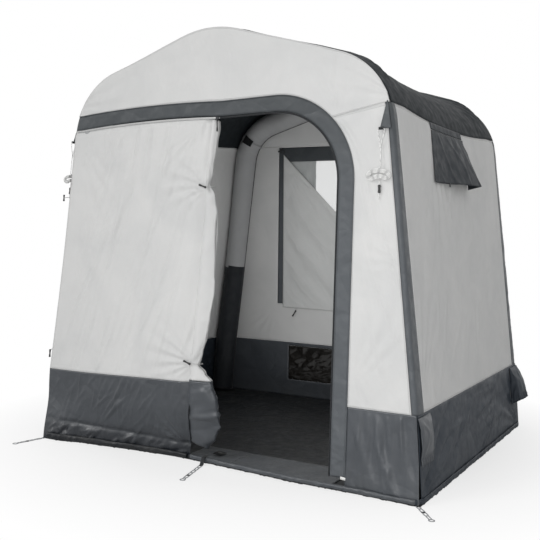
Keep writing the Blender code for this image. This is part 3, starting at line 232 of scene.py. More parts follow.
def fan(a, b, place, heading, spread, reach, folds, seed=0.0):
    """Pull folds that run out from a place, within spread either side of a heading in degrees."""
    da, db = a - place[0], b - place[1]
    far = hypot(da, db)
    if far > reach or far < 1e-4:
        return 0.0
    turn = (atan2(db, da) - radians(heading) + pi) % (2 * pi) - pi
    share = turn / radians(spread)
    if abs(share) > 1:
        return 0.0
    fade = smooth(far / (0.12 * reach)) * (1 - smooth(far / reach)) * cos(share * pi / 2)
    return fade * sin(folds * share * pi + seed + 1.5 * noise.noise(Vector((a * 3, b * 3, seed))))


def pulls(a, b, rows):
    """Several fans together, each as its depth and then what fan() is given."""
    return sum(depth * fan(a, b, *rest) for depth, *rest in rows)


def relief(swells, crests=()):
    """A wrinkle of swells and crests, each as its depth and then what swell() or crest() is given."""
    def height(a, b, p):
        return (sum(depth * swell(a, b, *rest) for depth, *rest in swells)
                + sum(depth * crest(a, b, *rest) for depth, *rest in crests))
    return height


def folds(seed, count, wide, tall, heading, spread, length, width, depth):
    """Straight creases with a sharp crest, strewn over a cloth of that size, near a heading in degrees."""
    chance = np.random.default_rng(seed)
    at_a, at_b = chance.uniform(0, wide, count), chance.uniform(0, tall, count)
    way = np.radians(heading + chance.uniform(-spread, spread, count))
    way_a, way_b = np.cos(way), np.sin(way)
    half = length / 2 * chance.uniform(0.5, 1.4, count)
    reach = width * chance.uniform(0.6, 1.4, count)
    rise = depth * chance.uniform(0.35, 1.0, count) * chance.choice([-0.7, 1.0, 1.0], count)
    curve = chance.uniform(-0.25, 0.25, count) / length

    def height(a, b):
        da, db = a - at_a, b - at_b
        along = da * way_a + db * way_b
        off = np.abs(db * way_a - da * way_b + curve * along * along)
        crest_at = np.clip(1 - off / reach, 0, 1) ** 1.6
        return float(np.sum(rise * crest_at * np.clip(1 - (along / half) ** 2, 0, 1)))
    return height


def taut(seed, depth=0.003, size=0.30, tall=1.0, fine=1.0):
    """Cloth pulled flat: soft swells and a few thin creases."""
    def height(a, b, p):
        return depth * (swell(a, b, size, seed, tall) + 0.35 * crest(a, b, size * 0.8, seed + 3, tall)
                        + 0.22 * fine * swell(a, b, size * 0.28, seed + 5, tall)
                        + 0.20 * fine * crest(a, b, size * 0.3, seed + 7, tall))
    return height


# Materials
def linear(code):
    """A colour written as six hexadecimal digits, as linear values."""
    values = [int(code[k:k + 2], 16) / 255 for k in (0, 2, 4)]
    return [v / 12.92 if v <= 0.04045 else ((v + 0.055) / 1.055) ** 2.4 for v in values] + [1.0]


class Nodes:
    """A small helper that adds nodes to a material or a world and joins them."""

    def __init__(self, owner, shader="Principled BSDF"):
        owner.use_nodes = True
        self.owner, self.tree = owner, owner.node_tree
        self.shader = self.tree.nodes[shader]

    def join(self, node, links):
        for socket, source in links:
            if isinstance(source, bpy.types.NodeSocket):
                self.tree.links.new(source, node.inputs[socket])
            elif source is not None:
                node.inputs[socket].default_value = source

    def add(self, kind, links=(), **values):
        node = self.tree.nodes.new(kind)
        for key, value in values.items():
            setattr(node, key, value)
        self.join(node, links)
        return node

    def place(self):
        return self.add("ShaderNodeTexCoord").outputs["Object"]

    def split(self, vector):
        return self.add("ShaderNodeSeparateXYZ", [(0, vector)]).outputs

    def maths(self, operation, first, second=0.0):
        return self.add("ShaderNodeMath", [(0, first), (1, second)], operation=operation).outputs[0]

    def noise(self, vector, scale, detail=4.0, distortion=0.0):
        return self.add("ShaderNodeTexNoise", [("Vector", vector), ("Scale", scale), ("Detail", detail),
                                               ("Distortion", distortion)]).outputs["Fac"]

    def ranged(self, value, low, high, to_low, to_high):
        return self.add("ShaderNodeMapRange", [("Value", value), ("From Min", low), ("From Max", high),
                                               ("To Min", to_low), ("To Max", to_high)]).outputs[0]

    def tint(self, share, first, second):
        return self.add("ShaderNodeMix", [(0, share), (6, first), (7, second)], data_type="RGBA").outputs[2]

    def wave(self, value, length):
        """A sine of that wavelength."""
        return self.maths("SINE", self.maths("MULTIPLY", value, 2 * pi / length))

    def bump(self, height, strength, distance, normal=None):
        return self.add("ShaderNodeBump", [("Height", height), ("Strength", strength), ("Distance", distance),
                                           ("Normal", normal)]).outputs["Normal"]

    def finish(self, colour, normal, roughness, **uniform):
        self.join(self.shader, [("Base Color", colour), ("Normal", normal), ("Roughness", roughness)])
        self.join(self.shader, [(key.replace("_", " ").title().replace("Ior", "IOR"), value)
                                for key, value in uniform.items()])
        return self.owner


STITCH_LENGTH, STITCH_IN, STITCH_WIDTH, DUST = 0.0046, 0.0072, 0.0006, "7C7668"


def cloth_finish(name, main, patch, weave=0.0011, crinkle=0.5, mottle=0.35, rough=(0.55, 0.75),
                 sheen=0.08, dust=0.0, stitch=None, gloss=0.35, head=None, foot=None):
    """Coated woven cloth: soft mottling, a plain weave, creases and a stitched line by its hems.
    A head colour is painted shade that darkens the cloth towards its top; a foot colour is a darker cloth
    along its foot."""
    made = Nodes(bpy.data.materials.new(name))
    spot = made.place()
    across, up, _ = made.split(made.add("ShaderNodeUVMap").outputs[0])
    high = made.split(spot)["Z"]
    cloud = made.noise(spot, 3.1, 5.0, 0.8)
    colour = made.tint(made.ranged(cloud, 0.35, 0.68, 0.0, mottle), linear(main), linear(patch))
    speck = made.noise(spot, 260.0, 2.0)
    colour = made.tint(made.ranged(speck, 0.3, 0.7, 0.0, 0.16), colour, linear(patch))
    # The head colour is painted shade towards the top; the foot colour is a darker cloth at the foot
    for tone, start, end in ((head, 1.30, 1.72), (foot, 0.15, 0.05)):
        if tone:
            colour = made.tint(made.ranged(high, start, end, 0.0, 1.0), colour, linear(tone))
    if dust:
        cover = made.ranged(made.noise(spot, 9.0, 6.0), 0.4, 0.7, 0.0, dust)
        low = made.maths("MULTIPLY", made.ranged(high, 0.0, 0.16, 1.0, 0.0), cover)
        colour = made.tint(low, colour, linear(DUST))
    hem = made.add("ShaderNodeAttribute", attribute_name="hem").outputs["Fac"]
    dash = made.maths("GREATER_THAN", made.wave(made.maths("ADD", across, up), STITCH_LENGTH), -0.35)
    off = made.maths("ABSOLUTE", made.maths("SUBTRACT", hem, STITCH_IN))
    line = made.maths("MULTIPLY", made.maths("LESS_THAN", off, STITCH_WIDTH), dash)
    colour = made.tint(line, colour, linear(stitch or patch))
    normal = made.bump(made.maths("MULTIPLY", made.wave(across, weave), made.wave(up, weave)), 0.04, 0.00012)
    drift = made.add("ShaderNodeTexNoise", [("Vector", spot), ("Scale", 4.0), ("Detail", 3.0)])
    drift = drift.outputs["Color"]
    for operation, second in (("MULTIPLY", (0.12, 0.12, 0.12)), ("ADD", spot)):
        drift = made.add("ShaderNodeVectorMath", [(0, drift), (1, second)], operation=operation).outputs[0]
    for scale, share in ((5.0, 1.0), (14.0, 0.55)):
        facet = made.add("ShaderNodeTexVoronoi", [("Vector", drift), ("Scale", scale)],
                         feature="DISTANCE_TO_EDGE").outputs["Distance"]
        normal = made.bump(facet, crinkle * share, 0.10 / scale, normal)
    normal = made.bump(made.noise(spot, 26.0, 6.0, 0.9), crinkle * 0.5, 0.002, normal)
    normal = made.bump(line, 0.5, 0.0006, normal)
    rough_at = made.ranged(made.noise(spot, 24.0, 3.0), 0.3, 0.7, *rough)
    return made.finish(colour, normal, rough_at, sheen_weight=sheen, sheen_roughness=0.4,
                       specular_ior_level=gloss)


def plain_finish(name, main, patch, rough=(0.35, 0.55), grain=140.0, bump=0.08, **uniform):
    """Moulded plastic, film or metal: a faint grain, and wear in its gloss."""
    made = Nodes(bpy.data.materials.new(name))
    spot = made.place()
    cloud = made.noise(spot, 38.0, 4.0)
    colour = made.tint(made.ranged(cloud, 0.35, 0.7, 0.0, 0.5), linear(main), linear(patch))
    normal = made.bump(made.noise(spot, grain, 3.0), bump, 0.001)
    rough_at = made.ranged(made.noise(spot, 60.0, 3.0), 0.3, 0.7, *rough)
    return made.finish(colour, normal, rough_at, **uniform)


STRANDS, TRACER_PITCH = 3, 0.0125


def braid_finish(name, main, groove_shade, pitch=0.0052):
    """Braided cord: two sets of strands that wind against each other along the cord, with painted shade in
    the grooves between them.
    """
    made = Nodes(bpy.data.materials.new(name))
    u, v, _ = made.split(made.add("ShaderNodeUVMap").outputs[0])
    along = made.maths("MULTIPLY", u, 2 * pi / pitch)
    around = made.maths("MULTIPLY", v, 2 * pi * STRANDS)
    strands = made.maths("MAXIMUM", *(made.maths("SINE", made.maths(wind, along, around))
                                      for wind in ("ADD", "SUBTRACT")))
    # Painted shade: the hollows between the strands take the darker groove colour
    colour = made.tint(made.ranged(strands, -0.2, 0.7, 0.0, 1.0), linear(groove_shade), linear(main))
    tracer = made.maths("ADD", made.maths("MULTIPLY", along, pitch / TRACER_PITCH),
                        made.maths("DIVIDE", around, float(STRANDS)))
    fleck = made.ranged(made.maths("SINE", tracer), 0.45, 0.75, 0.0, 0.50)
    colour = made.tint(fleck, colour, linear("77787A"))
    return made.finish(colour, made.bump(strands, 0.7, 0.0006), 0.8, sheen_weight=0.2)


LIGHT = cloth_finish("light coated cloth", "D3D3D2", "C4C5C5", mottle=0.55, crinkle=0.22, stitch="A9AAA9")
SLEEVE = cloth_finish("grey sleeve cloth", "A8A9AA", "999A9B", mottle=0.5, crinkle=0.5, stitch="7F8080")
CURTAIN = cloth_finish("thin curtain cloth", "D2D3D2", "C4C6C5", mottle=0.5, stitch="A5A6A5")
# The mud band cloth comes in two copies: this one as it looks lit on the front, and a darker, bluer copy,
# painted shade, for the sides
DARK = cloth_finish("slate mud band cloth", "45494E", "3B3F44", crinkle=0.45, rough=(0.34, 0.52), dust=0.06,
                    stitch="2C3034", gloss=0.6)
LEAF_BAND = cloth_finish("slate leaf band cloth", "3B3F44", "31353A", crinkle=0.6, rough=(0.34, 0.52),
                         stitch="292D31", gloss=0.6, foot="1B1F25")
# Painted shade: a darker, bluer copy of the mud band cloth, for the side pieces that face away from the light
SHADED_SIDE_CLOTH = cloth_finish("slate mud band cloth, shaded copy", "30373F", "272D35", crinkle=0.4, rough=(0.42, 0.60), dust=0.04,
                    sheen=0.02, stitch="1F2429", gloss=0.30)
ROOF = cloth_finish("slate roof cloth", "282C2F", "212528", crinkle=0.35, rough=(0.55, 0.75), sheen=0.0,
                    stitch="1D1F21", gloss=0.12)
# Its head colour is painted shade, darkening the trim towards the top of the door
TRIM = cloth_finish("grey trim cloth", "55595D", "484C50", crinkle=0.9, rough=(0.45, 0.65), stitch="363A3D",
                    gloss=0.45, head="414548")
HOOD = cloth_finish("slate hood cloth", "262B30", "1E2328", crinkle=0.5, rough=(0.46, 0.64), sheen=0.0,
                    stitch="15181B", gloss=0.22)
GROUND = cloth_finish("black groundsheet cloth", "121519", "1A1E23", crinkle=0.5, rough=(0.40, 0.60),
                      dust=0.05, sheen=0.02, stitch="0E0F10", gloss=0.4)
BLACK_CLOTH = cloth_finish("black lining cloth", "202327", "2A2D31", rough=(0.55, 0.75), stitch="0C0D0E")
VENT_FILM = cloth_finish("black vent film", "1C1B1A", "28241F", weave=0.0016, crinkle=1.0,
                         rough=(0.12, 0.3), sheen=0.0)
MESH = cloth_finish("fine insect mesh", "101214", "1D2022", weave=0.0022, crinkle=0.1)
FILM = plain_finish("clear window film", "CDD2D2", "DADEDD", (0.04, 0.12), 12.0, 0.25, alpha=0.22,
                    specular_ior_level=0.6)
BLACK = plain_finish("black moulded plastic", "1B1B1C", "242526", (0.3, 0.5))
GREY = plain_finish("grey moulded plastic", "8D8E8F", "7F8081", (0.35, 0.5))
ZIP = plain_finish("dark coil zip", "232527", "2E3032", (0.3, 0.45))
HOOK = cloth_finish("hook and loop tape", "141516", "1E2022", weave=0.0024, crinkle=0.3, rough=(0.8, 0.95))
WHITE_TAPE = cloth_finish("white seam tape", "ECECEA", "DFDFDD", weave=0.0016, crinkle=0.1)
WEBBING = cloth_finish("grey webbing", "A0A2A5", "8C8E91", weave=0.0020, crinkle=0.1, stitch="77787A")
DARK_WEBBING = cloth_finish("black webbing", "202224", "2A2C2E", weave=0.0020, crinkle=0.1, stitch="101112")
BLADDER = plain_finish("air-tight film", "C6C9C7", "B6B9B7", (0.25, 0.4), 30.0, 0.2)
ROPE = braid_finish("white braided cord", "FFFFFE", "E9E9E7")
ELASTIC = braid_finish("light elastic cord", "C9C9C7", "9B9B9A", 0.004)


# Makers of pieces
def link(made):
    bpy.context.scene.collection.objects.link(made)
    return made


def mesh_object(shape, name):
    """An object of a worked bmesh."""
    mesh = bpy.data.meshes.new(name)
    shape.to_mesh(mesh)
    shape.free()
    return link(bpy.data.objects.new(name, mesh))


def declare(made, finish, body, nodes, slot):
    """Give a piece its finish, ride it on a body and hide the nodes that it stands for."""
    made.data.materials.append(finish)
    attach(made, body)
    if nodes:
        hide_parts(*nodes)
    return made


def place_piece(shape, name, finish, body, nodes=(), slot=None, thick=None, smooth_faces=True):
    """Turn a worked bmesh into a piece that rides on a body and stands for its nodes."""
    made = mesh_object(shape, name)
    if smooth_faces:
        made.data.shade_smooth()
    if thick:
        wall = made.modifiers.new("thickness", "SOLIDIFY")
        wall.thickness, wall.offset = thick, -1
    return declare(made, finish, body, nodes, slot)


def stations(lengths, step):
    """Stops along a side: the parameter, and the length so far in metres."""
    found, done = [(0.0, 0.0)], 0.0
    for k, length in enumerate(lengths):
        count = max(1, ceil(length / step))
        found += [(k + i / count, done + length * i / count) for i in range(1, count + 1)]
        done += length
    return found


def cloth(name, surface, across, up, height, finish, body, nodes=(), slot="light_cloth", thick=SHEET,
          holes=(), free="", closed=False, step=STEP, sewn=0.035):
    """A sheet over surface(u, v), u across and v up as seen from outside, in stretches of those lengths.
    height(a, b, point) raises its wrinkles, which die out at sewn edges; free names the loose edges."""
    us, vs = stations(across, step), stations(up, step)
    wide, tall = us[-1][1], vs[-1][1]
    shape = bmesh.new()
    hem_layer = shape.verts.layers.float.new("hem")
    uv = shape.loops.layers.uv.new("flat")
    bmesh.ops.create_grid(shape, x_segments=len(us) - 1, y_segments=len(vs) - 1, size=1)
    flat = {}
    for vertex in shape.verts:
        i = round((vertex.co.x + 1) / 2 * (len(us) - 1))
        j = round((vertex.co.y + 1) / 2 * (len(vs) - 1))
        flat[vertex] = (us[i][0], vs[j][0], us[i][1], vs[j][1])
        vertex.co = settle(surface(us[i][0], vs[j][0]))
    cuts = [(sum(across[:i]), sum(across[:i + 1]), sum(up[:j]), sum(up[:j + 1])) for i, j in holes]
    shape.normal_update()
    for vertex in shape.verts:
        u, v, a, b = flat[vertex]
        edges = [("left", a), ("right", wide - a), ("foot", b), ("head", tall - b)]
        if closed:
            edges = edges[2:]
        sewn_edge = min([far for side, far in edges if side not in free] + [9.0])
        nearest = min(far for side, far in edges)
        for a0, a1, b0, b1 in cuts:
            gap = hypot(max(a0 - a, 0, a - a1), max(b0 - b, 0, b - b1))
            sewn_edge, nearest = min(sewn_edge, gap), min(nearest, gap)
        vertex[hem_layer] = nearest
        if height:
            vertex.co += vertex.normal * (height(a, b, vertex.co) * smooth(sewn_edge / sewn))
    for face in shape.faces:
        for loop in face.loops:
            loop[uv].uv = flat[loop.vert][2:]
    if holes:
        inside = [face for face in shape.faces
                  if tuple(int(sum(flat[vertex][k] for vertex in face.verts) / 4) for k in (0, 1)) in holes]
        bmesh.ops.delete(shape, geom=inside, context="FACES")
    if closed:
        bmesh.ops.remove_doubles(shape, verts=shape.verts, dist=1e-5)
    return place_piece(shape, name, finish, body, nodes, slot, thick)


def tube(name, points, radius, finish, body, nodes=(), slot=None, sides=4, cyclic=False):
    """A round cord or piping along points, as a curve."""
    path = bpy.data.curves.new(name, "CURVE")
    path.dimensions = "3D"
    spline = path.splines.new("POLY")
    spline.points.add(len(points) - 1)
    for knot, point in zip(spline.points, points):
        knot.co = (*point, 1.0)
    spline.use_cyclic_u = cyclic
    path.bevel_depth = radius
    path.bevel_resolution = sides
    path.use_fill_caps = not cyclic
    return declare(link(bpy.data.objects.new(name, path)), finish, body, nodes, slot)


def block(shape, size, matrix=Matrix()):
    """A box of that size, moved into place, for a shape to be worked from."""
    verts = bmesh.ops.create_cube(shape, size=1)["verts"]
    bmesh.ops.scale(shape, vec=size, verts=verts)
    bmesh.ops.transform(shape, matrix=matrix, verts=verts)


def soften(shape, edges, offset, segments=2):
    bmesh.ops.bevel(shape, geom=edges, offset=offset, segments=segments, affect="EDGES", profile=0.5,
                    material=-1)


def turned_to(place, direction, twist=0.0):
    """A matrix that stands +Z along a direction at a place."""
    turn = Vector((0, 0, 1)).rotation_difference(Vector(direction)).to_matrix().to_4x4()
    return Matrix.Translation(place) @ turn @ Matrix.Rotation(twist, 4, "Z")


def spin(shape, profile, steps=24):
    """Turn a profile of (radius, height) once round Z."""
    knots = [shape.verts.new((radius, 0, height)) for radius, height in profile]
    edges = [shape.edges.new(pair) for pair in zip(knots, knots[1:])]
    bmesh.ops.spin(shape, geom=knots + edges, cent=(0, 0, 0), axis=(0, 0, 1), angle=2 * pi, steps=steps,
                   use_merge=True)
    bmesh.ops.remove_doubles(shape, verts=shape.verts, dist=1e-6)
    bmesh.ops.recalc_face_normals(shape, faces=shape.faces)


def spline_points(route, count):
    ends = [2 * route[0] - route[1]] + route + [2 * route[-1] - route[-2]]
    pieces = len(route) - 1
    found = []
    for k in range(count + 1):
        place = min(k / count * pieces, pieces - 1e-9)
        i = int(place)
        t = place - i
        a, b, c, d = ends[i:i + 4]
        found.append(0.5 * ((2 * b) + (c - a) * t + (2 * a - 5 * b + 4 * c - d) * t ** 2
                            + (3 * b - a - 3 * c + d) * t ** 3))
    return found


# Small fasteners
def toggle(name, place, way, out, body, length=0.036, radius=0.0042, finish=BLACK):
    """A moulded bar with a waist, a round boss and rounded ends."""
    shape = bmesh.new()
    half = length / 2
    upper = [(radius * 0.78, half * 0.4), (radius, half - 0.002), (radius * 0.7, half - 0.0004), (0, half)]
    spin(shape, [(wide, -high) for wide, high in reversed(upper)] + [(radius * 0.62, 0)] + upper, 16)
    bmesh.ops.transform(shape, matrix=turned_to(Vector(place) + Vector(out) * radius, way), verts=shape.verts)
    return place_piece(shape, name, finish, body, slot="black_plastic")


def patch(name, place, size, out, up, finish, body, slot, thick=0.002):
    """A small flat square of tape with soft corners."""
    shape = bmesh.new()
    block(shape, (*size, thick))
    upright = [e for e in shape.edges if abs((e.verts[0].co - e.verts[1].co).z) > thick / 2]
    soften(shape, upright, min(size) * 0.12, 3)
    out, up = Vector(out).normalized(), Vector(up).normalized()
    side = up.cross(out).normalized()
    turn = Matrix((side, out.cross(side), out)).transposed().to_4x4()
    bmesh.ops.transform(shape, matrix=Matrix.Translation(Vector(place) + out * thick / 2) @ turn,
                        verts=shape.verts)
    return place_piece(shape, name, finish, body, slot=slot)


# Camera at the photograph's place
CAMERA_YAW, CAMERA_PITCH, CAMERA_ROLL = 0.5117, -0.0477, 0.0194
CAMERA_PLACE, CAMERA_LENS = (2.2508, -4.3251, 1.1747), 55.757
right_way = Vector((cos(CAMERA_YAW), sin(CAMERA_YAW), 0))
ahead = Vector((-sin(CAMERA_YAW), cos(CAMERA_YAW), 0))
look = ahead * cos(CAMERA_PITCH) + Vector((0, 0, 1)) * sin(CAMERA_PITCH)
top = Vector((0, 0, 1)) * cos(CAMERA_PITCH) - ahead * sin(CAMERA_PITCH)
rolled_right = right_way * cos(CAMERA_ROLL) + top * sin(CAMERA_ROLL)
rolled_top = top * cos(CAMERA_ROLL) - right_way * sin(CAMERA_ROLL)
camera = link(bpy.data.objects.new("camera", bpy.data.cameras.new("camera")))
camera.data.lens, camera.data.sensor_width = CAMERA_LENS, 36
axes = Matrix((rolled_right, rolled_top, -look)).transposed().to_4x4()
camera.matrix_world = Matrix.Translation(CAMERA_PLACE) @ axes
bpy.context.scene.camera = camera
bpy.context.scene.view_settings.view_transform = "Standard"


# Guy ropes, each one cord: a bight through its webbing loop, a wound hank and a short tail
class GuyPlace:
    """Directions at a guy rope's gusset: across it, up the rope, and out of the cloth."""

    def __init__(self, word):
        self.on_front = word == "right"
        self.foot_s = arch_s(GUSSET_FOOT)
        if self.on_front:
            self.origin = front_point(LOOP_X, GUSSET_FOOT)
            self.across, self.up, self.out = Vector((1, 0, 0)), Vector((0, 0, 1)), Vector((0, -1, 0))
        else:
            y = GUSSET_SET_BACK - (GUSSET_X - LOOP_X) - face_y(GUSSET_FOOT)
            self.origin = Vector((-half_width(GUSSET_FOOT), y, GUSSET_FOOT))
            self.across = Vector((0, -1, 0))
            self.up = Vector((sin(WALL_LEAN), 0, cos(WALL_LEAN)))
            self.out = Vector((-cos(WALL_LEAN), 0, sin(WALL_LEAN)))

    def gusset(self, u, v):
        middle = GUSSET_X - LOOP_X
        raised = SEAM + CLOTH + GUSSET_RAISE * (1 - v)
        width = GUSSET_WIDTH * (u - 0.5) * mix(1.0, GUSSET_TIP, v)
        if self.on_front:
            return front_point(LOOP_X + middle + width, mix(GUSSET_FOOT, GUSSET_TOP, v), raised)
        point, normal = arch_at(self.foot_s + (GUSSET_TOP - GUSSET_FOOT) * v)
        point = point + normal * (raised + SEAM)
        return Vector((-point.x, self.origin.y + middle - width, point.y))

    def at(self, across, height, layer=0.0):
        out = SEAM + CLOTH + GUSSET_RAISE + LOOP_RADIUS * LOOP_SINK - layer
        return self.origin + self.across * across + self.up * height + self.out * out


def hank_base(angle):
    rise = sin(angle)
    return Vector((HANK_REACH * cos(angle), HANK_SWELL * rise * (1 - HANK_WAIST * rise * rise)))


def hank_points():
    """Loops wind in on the front layer, cross to the rear layer and wind out again."""
    turns = 2 * HANK_LOOPS - 0.5
    loops = []
    samples = int(turns * 36)
    for k in range(samples + 1):
        turned_by = turns * k / samples
        angle = pi / 2 + 2 * pi * turned_by
        along = (hank_base(angle + 0.001) - hank_base(angle - 0.001)).normalized()
        flat = hank_base(angle) + Vector((along.y, -along.x)) * abs(turned_by - turns / 2) * HANK_PITCH
        climb = smooth((turned_by - turns / 2 + 0.25) / 0.5)
        turn = flat.x / HANK_DROOP_RADIUS
        radius = HANK_DROOP_RADIUS + flat.y
        loops.append(Vector((radius * sin(turn), mix(-HANK_LAYER / 2, HANK_LAYER / 2, climb),
                             radius * cos(turn) - HANK_DROOP_RADIUS)))
    first, last, lead = loops[0], loops[-1], 2.2 * ROPE_DIAMETER
    start = [first + Vector((lead * x, 0, lead * z)) for x, z in ((1, 2.1), (1, 1.1), (0.75, 0.35))]
    end = [last + Vector((lead * x, 0, lead * z)) for x, z in ((0.25, -0.35), (0.45, -1.1), (0.45, -2.1))]
    points = start + loops[1:-1] + end
    shift = Vector((points[0].x, points[0].y, 0))
    return [point - shift for point in points]


HANK = hank_points()
HANK_TOP, HANK_FOOT = HANK[0].z - HANK_DROP, HANK[-1].z - HANK_DROP


def bight_route():
    seat = -(LOOP_BORE - ROPE_DIAMETER / 2 - SEAM)
    side = LOOP_LENGTH / 2 + ROPE_DIAMETER
    return [(-0.0047, -ROPE_JOIN), (-0.0052, 0.014 - ROPE_JOIN), (-0.0120, seat - 0.030),
            (-side, seat - 0.010), (-side + 0.0015, seat - 0.001), (-0.0070, seat),
            (0.0070, seat), (side - 0.0015, seat - 0.001), (side, seat - 0.010),
            (0.0110, seat - 0.030), (0.0010, 0.012 - ROPE_JOIN), (0.0, -0.004 - ROPE_JOIN),
            (0.0, -0.030 - ROPE_JOIN), (0.0, HANK_TOP + SEAM + 0.010), (0.0, HANK_TOP + SEAM)]


for word in ("right", "left"):
    place = GuyPlace(word)
    route = spline_points([place.at(across, height) for across, height in bight_route()], 76)
    route += [place.at(point.x, point.z - HANK_DROP, point.y) for point in HANK]
    tail_length = RUNNER_DROP + RUNNER_LENGTH + TAIL_END
    route += [place.at(HANK[-1].x, HANK_FOOT - tail_length * k / 10, HANK[-1].y) for k in range(1, 11)]
    rope = tube("guy_cord_" + word, route, ROPE_DIAMETER / 2, ROPE, "tent",
                ["guy_rope_" + word, "guy_hank_" + word, "guy_tail_" + word], "white_rope", sides=3)
    length = sum((b - a).length for a, b in zip(route, route[1:]))
    shape = bmesh.new()
    seat = route[-1]
    for k in range(26):
        lean = Vector((sin(k * 2.4) * 0.35, cos(k * 2.4) * 0.35, -1)).normalized()
        strand = bmesh.ops.create_cone(shape, cap_ends=True, segments=5, radius1=0.00035, radius2=0.0001,
                                       depth=0.011)
        spot = seat + lean * 0.005 + Vector((sin(k * 2.4), cos(k * 2.4), 0)) * 0.0008
        bmesh.ops.transform(shape, matrix=turned_to(spot, lean), verts=strand["verts"])
    fray = place_piece(shape, "guy_cord_fray_" + word, ROPE, "tent", slot="white_rope")
    shape = bmesh.new()
    for k in range(3):
        ring = bmesh.ops.create_cone(shape, cap_ends=True, segments=20, radius1=0.0030, radius2=0.0030,
                                     depth=0.0026)
        spot = place.at(-0.0022, -ROPE_JOIN + 0.002 - 0.0030 * k)
        bmesh.ops.transform(shape, matrix=turned_to(spot, place.up), verts=ring["verts"])
        bmesh.ops.scale(shape, vec=(1.35, 1.0, 1.0), space=Matrix.Translation(-spot), verts=ring["verts"])
    soften(shape, [e for e in shape.edges if e.is_manifold and e.calc_face_angle(0) > 1], 0.0008)
    knot = place_piece(shape, "guy_cord_whipping_" + word, ROPE, "tent", slot="white_rope")


# Background: the camera, films and glossy faces see plain white, while the rest gets a softer light
WORLD_LIGHT, FLOOR_TONE, FLOOR_DROP = 0.46, 0.86, 0.0004
world = bpy.data.worlds.new("world")
bpy.context.scene.world = world
sky = Nodes(world, "Background")
rays = sky.add("ShaderNodeLightPath").outputs
glass = sky.maths("MAXIMUM", rays["Is Glossy Ray"], rays["Is Transmission Ray"])
seen = sky.maths("MAXIMUM", rays["Is Camera Ray"], glass)
sky.join(sky.shader, [("Color", (1, 1, 1, 1)), ("Strength", sky.ranged(seen, 0.0, 1.0, WORLD_LIGHT, 1.0))])

# Floor: it keeps the tent's shadow and fades to white round it
shape = bmesh.new()
bmesh.ops.create_grid(shape, x_segments=1, y_segments=1, size=40)
floor = mesh_object(shape, "floor")
floor.location.z = -FLOOR_DROP
paper = Nodes(bpy.data.materials.new("pale floor"))
paper.finish([FLOOR_TONE] * 3 + [1], None, 0.9, specular_ior_level=0.1)
away = paper.add("ShaderNodeVectorMath", [(0, paper.place())], operation="LENGTH").outputs["Value"]
glow = paper.ranged(away, 1.1, 2.0, 0.66, 1.0)
glow = paper.maths("MULTIPLY", glow, paper.add("ShaderNodeLightPath").outputs["Is Camera Ray"])
white = paper.add("ShaderNodeEmission", [("Strength", 1.0)])
blend = paper.add("ShaderNodeMixShader", [(0, glow), (1, paper.shader.outputs[0]), (2, white.outputs[0])])
paper.join(paper.tree.nodes["Material Output"], [("Surface", blend.outputs[0])])
floor.data.materials.append(paper.owner)


def lamp(name, kind, energy, place, target, **values):
    data = bpy.data.lights.new(name, kind)
    data.energy = energy
    for key, value in values.items():
        setattr(data, key, value)
    made = link(bpy.data.objects.new(name, data))
    made.matrix_world = turned_to(Vector(place), Vector(place) - Vector(target))
    made.visible_camera = False


lamp("key light", "SUN", 0.92, (-3.2, -4.6, 3.6), (0, 0, 0), angle=radians(24))
lamp("front softbox", "AREA", 36.0, (1.3, -4.0, 1.5), (0.3, -0.9, 1.0), size=1.4)
lamp("fill light", "SUN", 0.10, (5.0, -1.6, 3.0), (0, 0, 0), angle=radians(60))
lamp("floor bounce", "AREA", 4.0, (0.0, 0.0, 0.10), (0.0, 0.001, 2.0), size=1.3)
lamp("room light", "POINT", 7.8, (0.0, 0.05, 1.25), (0, 0, 0), shadow_soft_size=0.45)


# Roof, side walls and mud bands
BEAM_SWELL, BEAM_SWELL_WIDTH = 0.013, 0.24


def roof_half(side):
    edge = face_y(HEIGHT)

    def surface(u, v):
        y = mix(-edge, edge, u if side > 0 else 1 - u)
        s = pick([arch_s(eave_height(y)) + SEAM, ROOF_S, RIDGE_S, ARCH_LENGTH], v)
        near = (edge - abs(y)) / BEAM_SWELL_WIDTH
        over_beam = BEAM_SWELL * sin(pi * near) ** 2 * smooth((v - 0.25) / 0.6) if near < 1 else 0.0
        point = side_surface(side, s, y * 0.9985, over_beam)
        point.x += side * SEAM
        return point
    return surface


def strip_side(z):
    return mix(STRIP_SIDE_LOW, STRIP_SIDE_HIGH, (z - BAND_TOP) / (EAVE_HEIGHT - BAND_TOP))


def wall_y_stops(side, z):
    """Stops along the wall; the right one has a stretch that the vent mesh fills."""
    edge = face_y(z) - strip_side(z) - SEAM
    if side > 0:
        return [-edge, HOOD_FRONT + MESH_MARGIN, HOOD_REAR - MESH_MARGIN, edge]
    return [edge, -edge]


MESH_LOW, MESH_HIGH = HOOD_TOP - HOOD_DROP + MESH_MARGIN, HOOD_TOP - MESH_MARGIN / 2
HEAD_LAP, HEAD_IN = 0.004, 0.0022


def wall_surface(side):
    """The wall's head is sewn under the roof's edge, so it laps the seam and stands in a little."""
    def surface(u, v):
        def s_at(y):
            high = arch_s(eave_height(y)) + HEAD_LAP
            if side > 0:
                return pick([BAND_S + SEAM, arch_s(MESH_LOW), arch_s(MESH_HIGH), high], v)
            return pick([BAND_S + SEAM, high], v)
        z = arch_at(s_at(0.0))[0].y
        y = pick(wall_y_stops(side, z), u)
        s = s_at(y)
        return side_surface(side, s, y, -HEAD_IN * smooth((s - arch_s(eave_height(y)) + 0.02) / 0.015))
    return surface


def band_surface(side):
    def surface(u, v):
        s = mix(arch_s(FLOOR), BAND_S - SEAM, v)
        edge = face_y(arch_at(s)[0].y)
        return side_surface(side, s, mix(-edge, edge, u if side > 0 else 1 - u))
    return surface


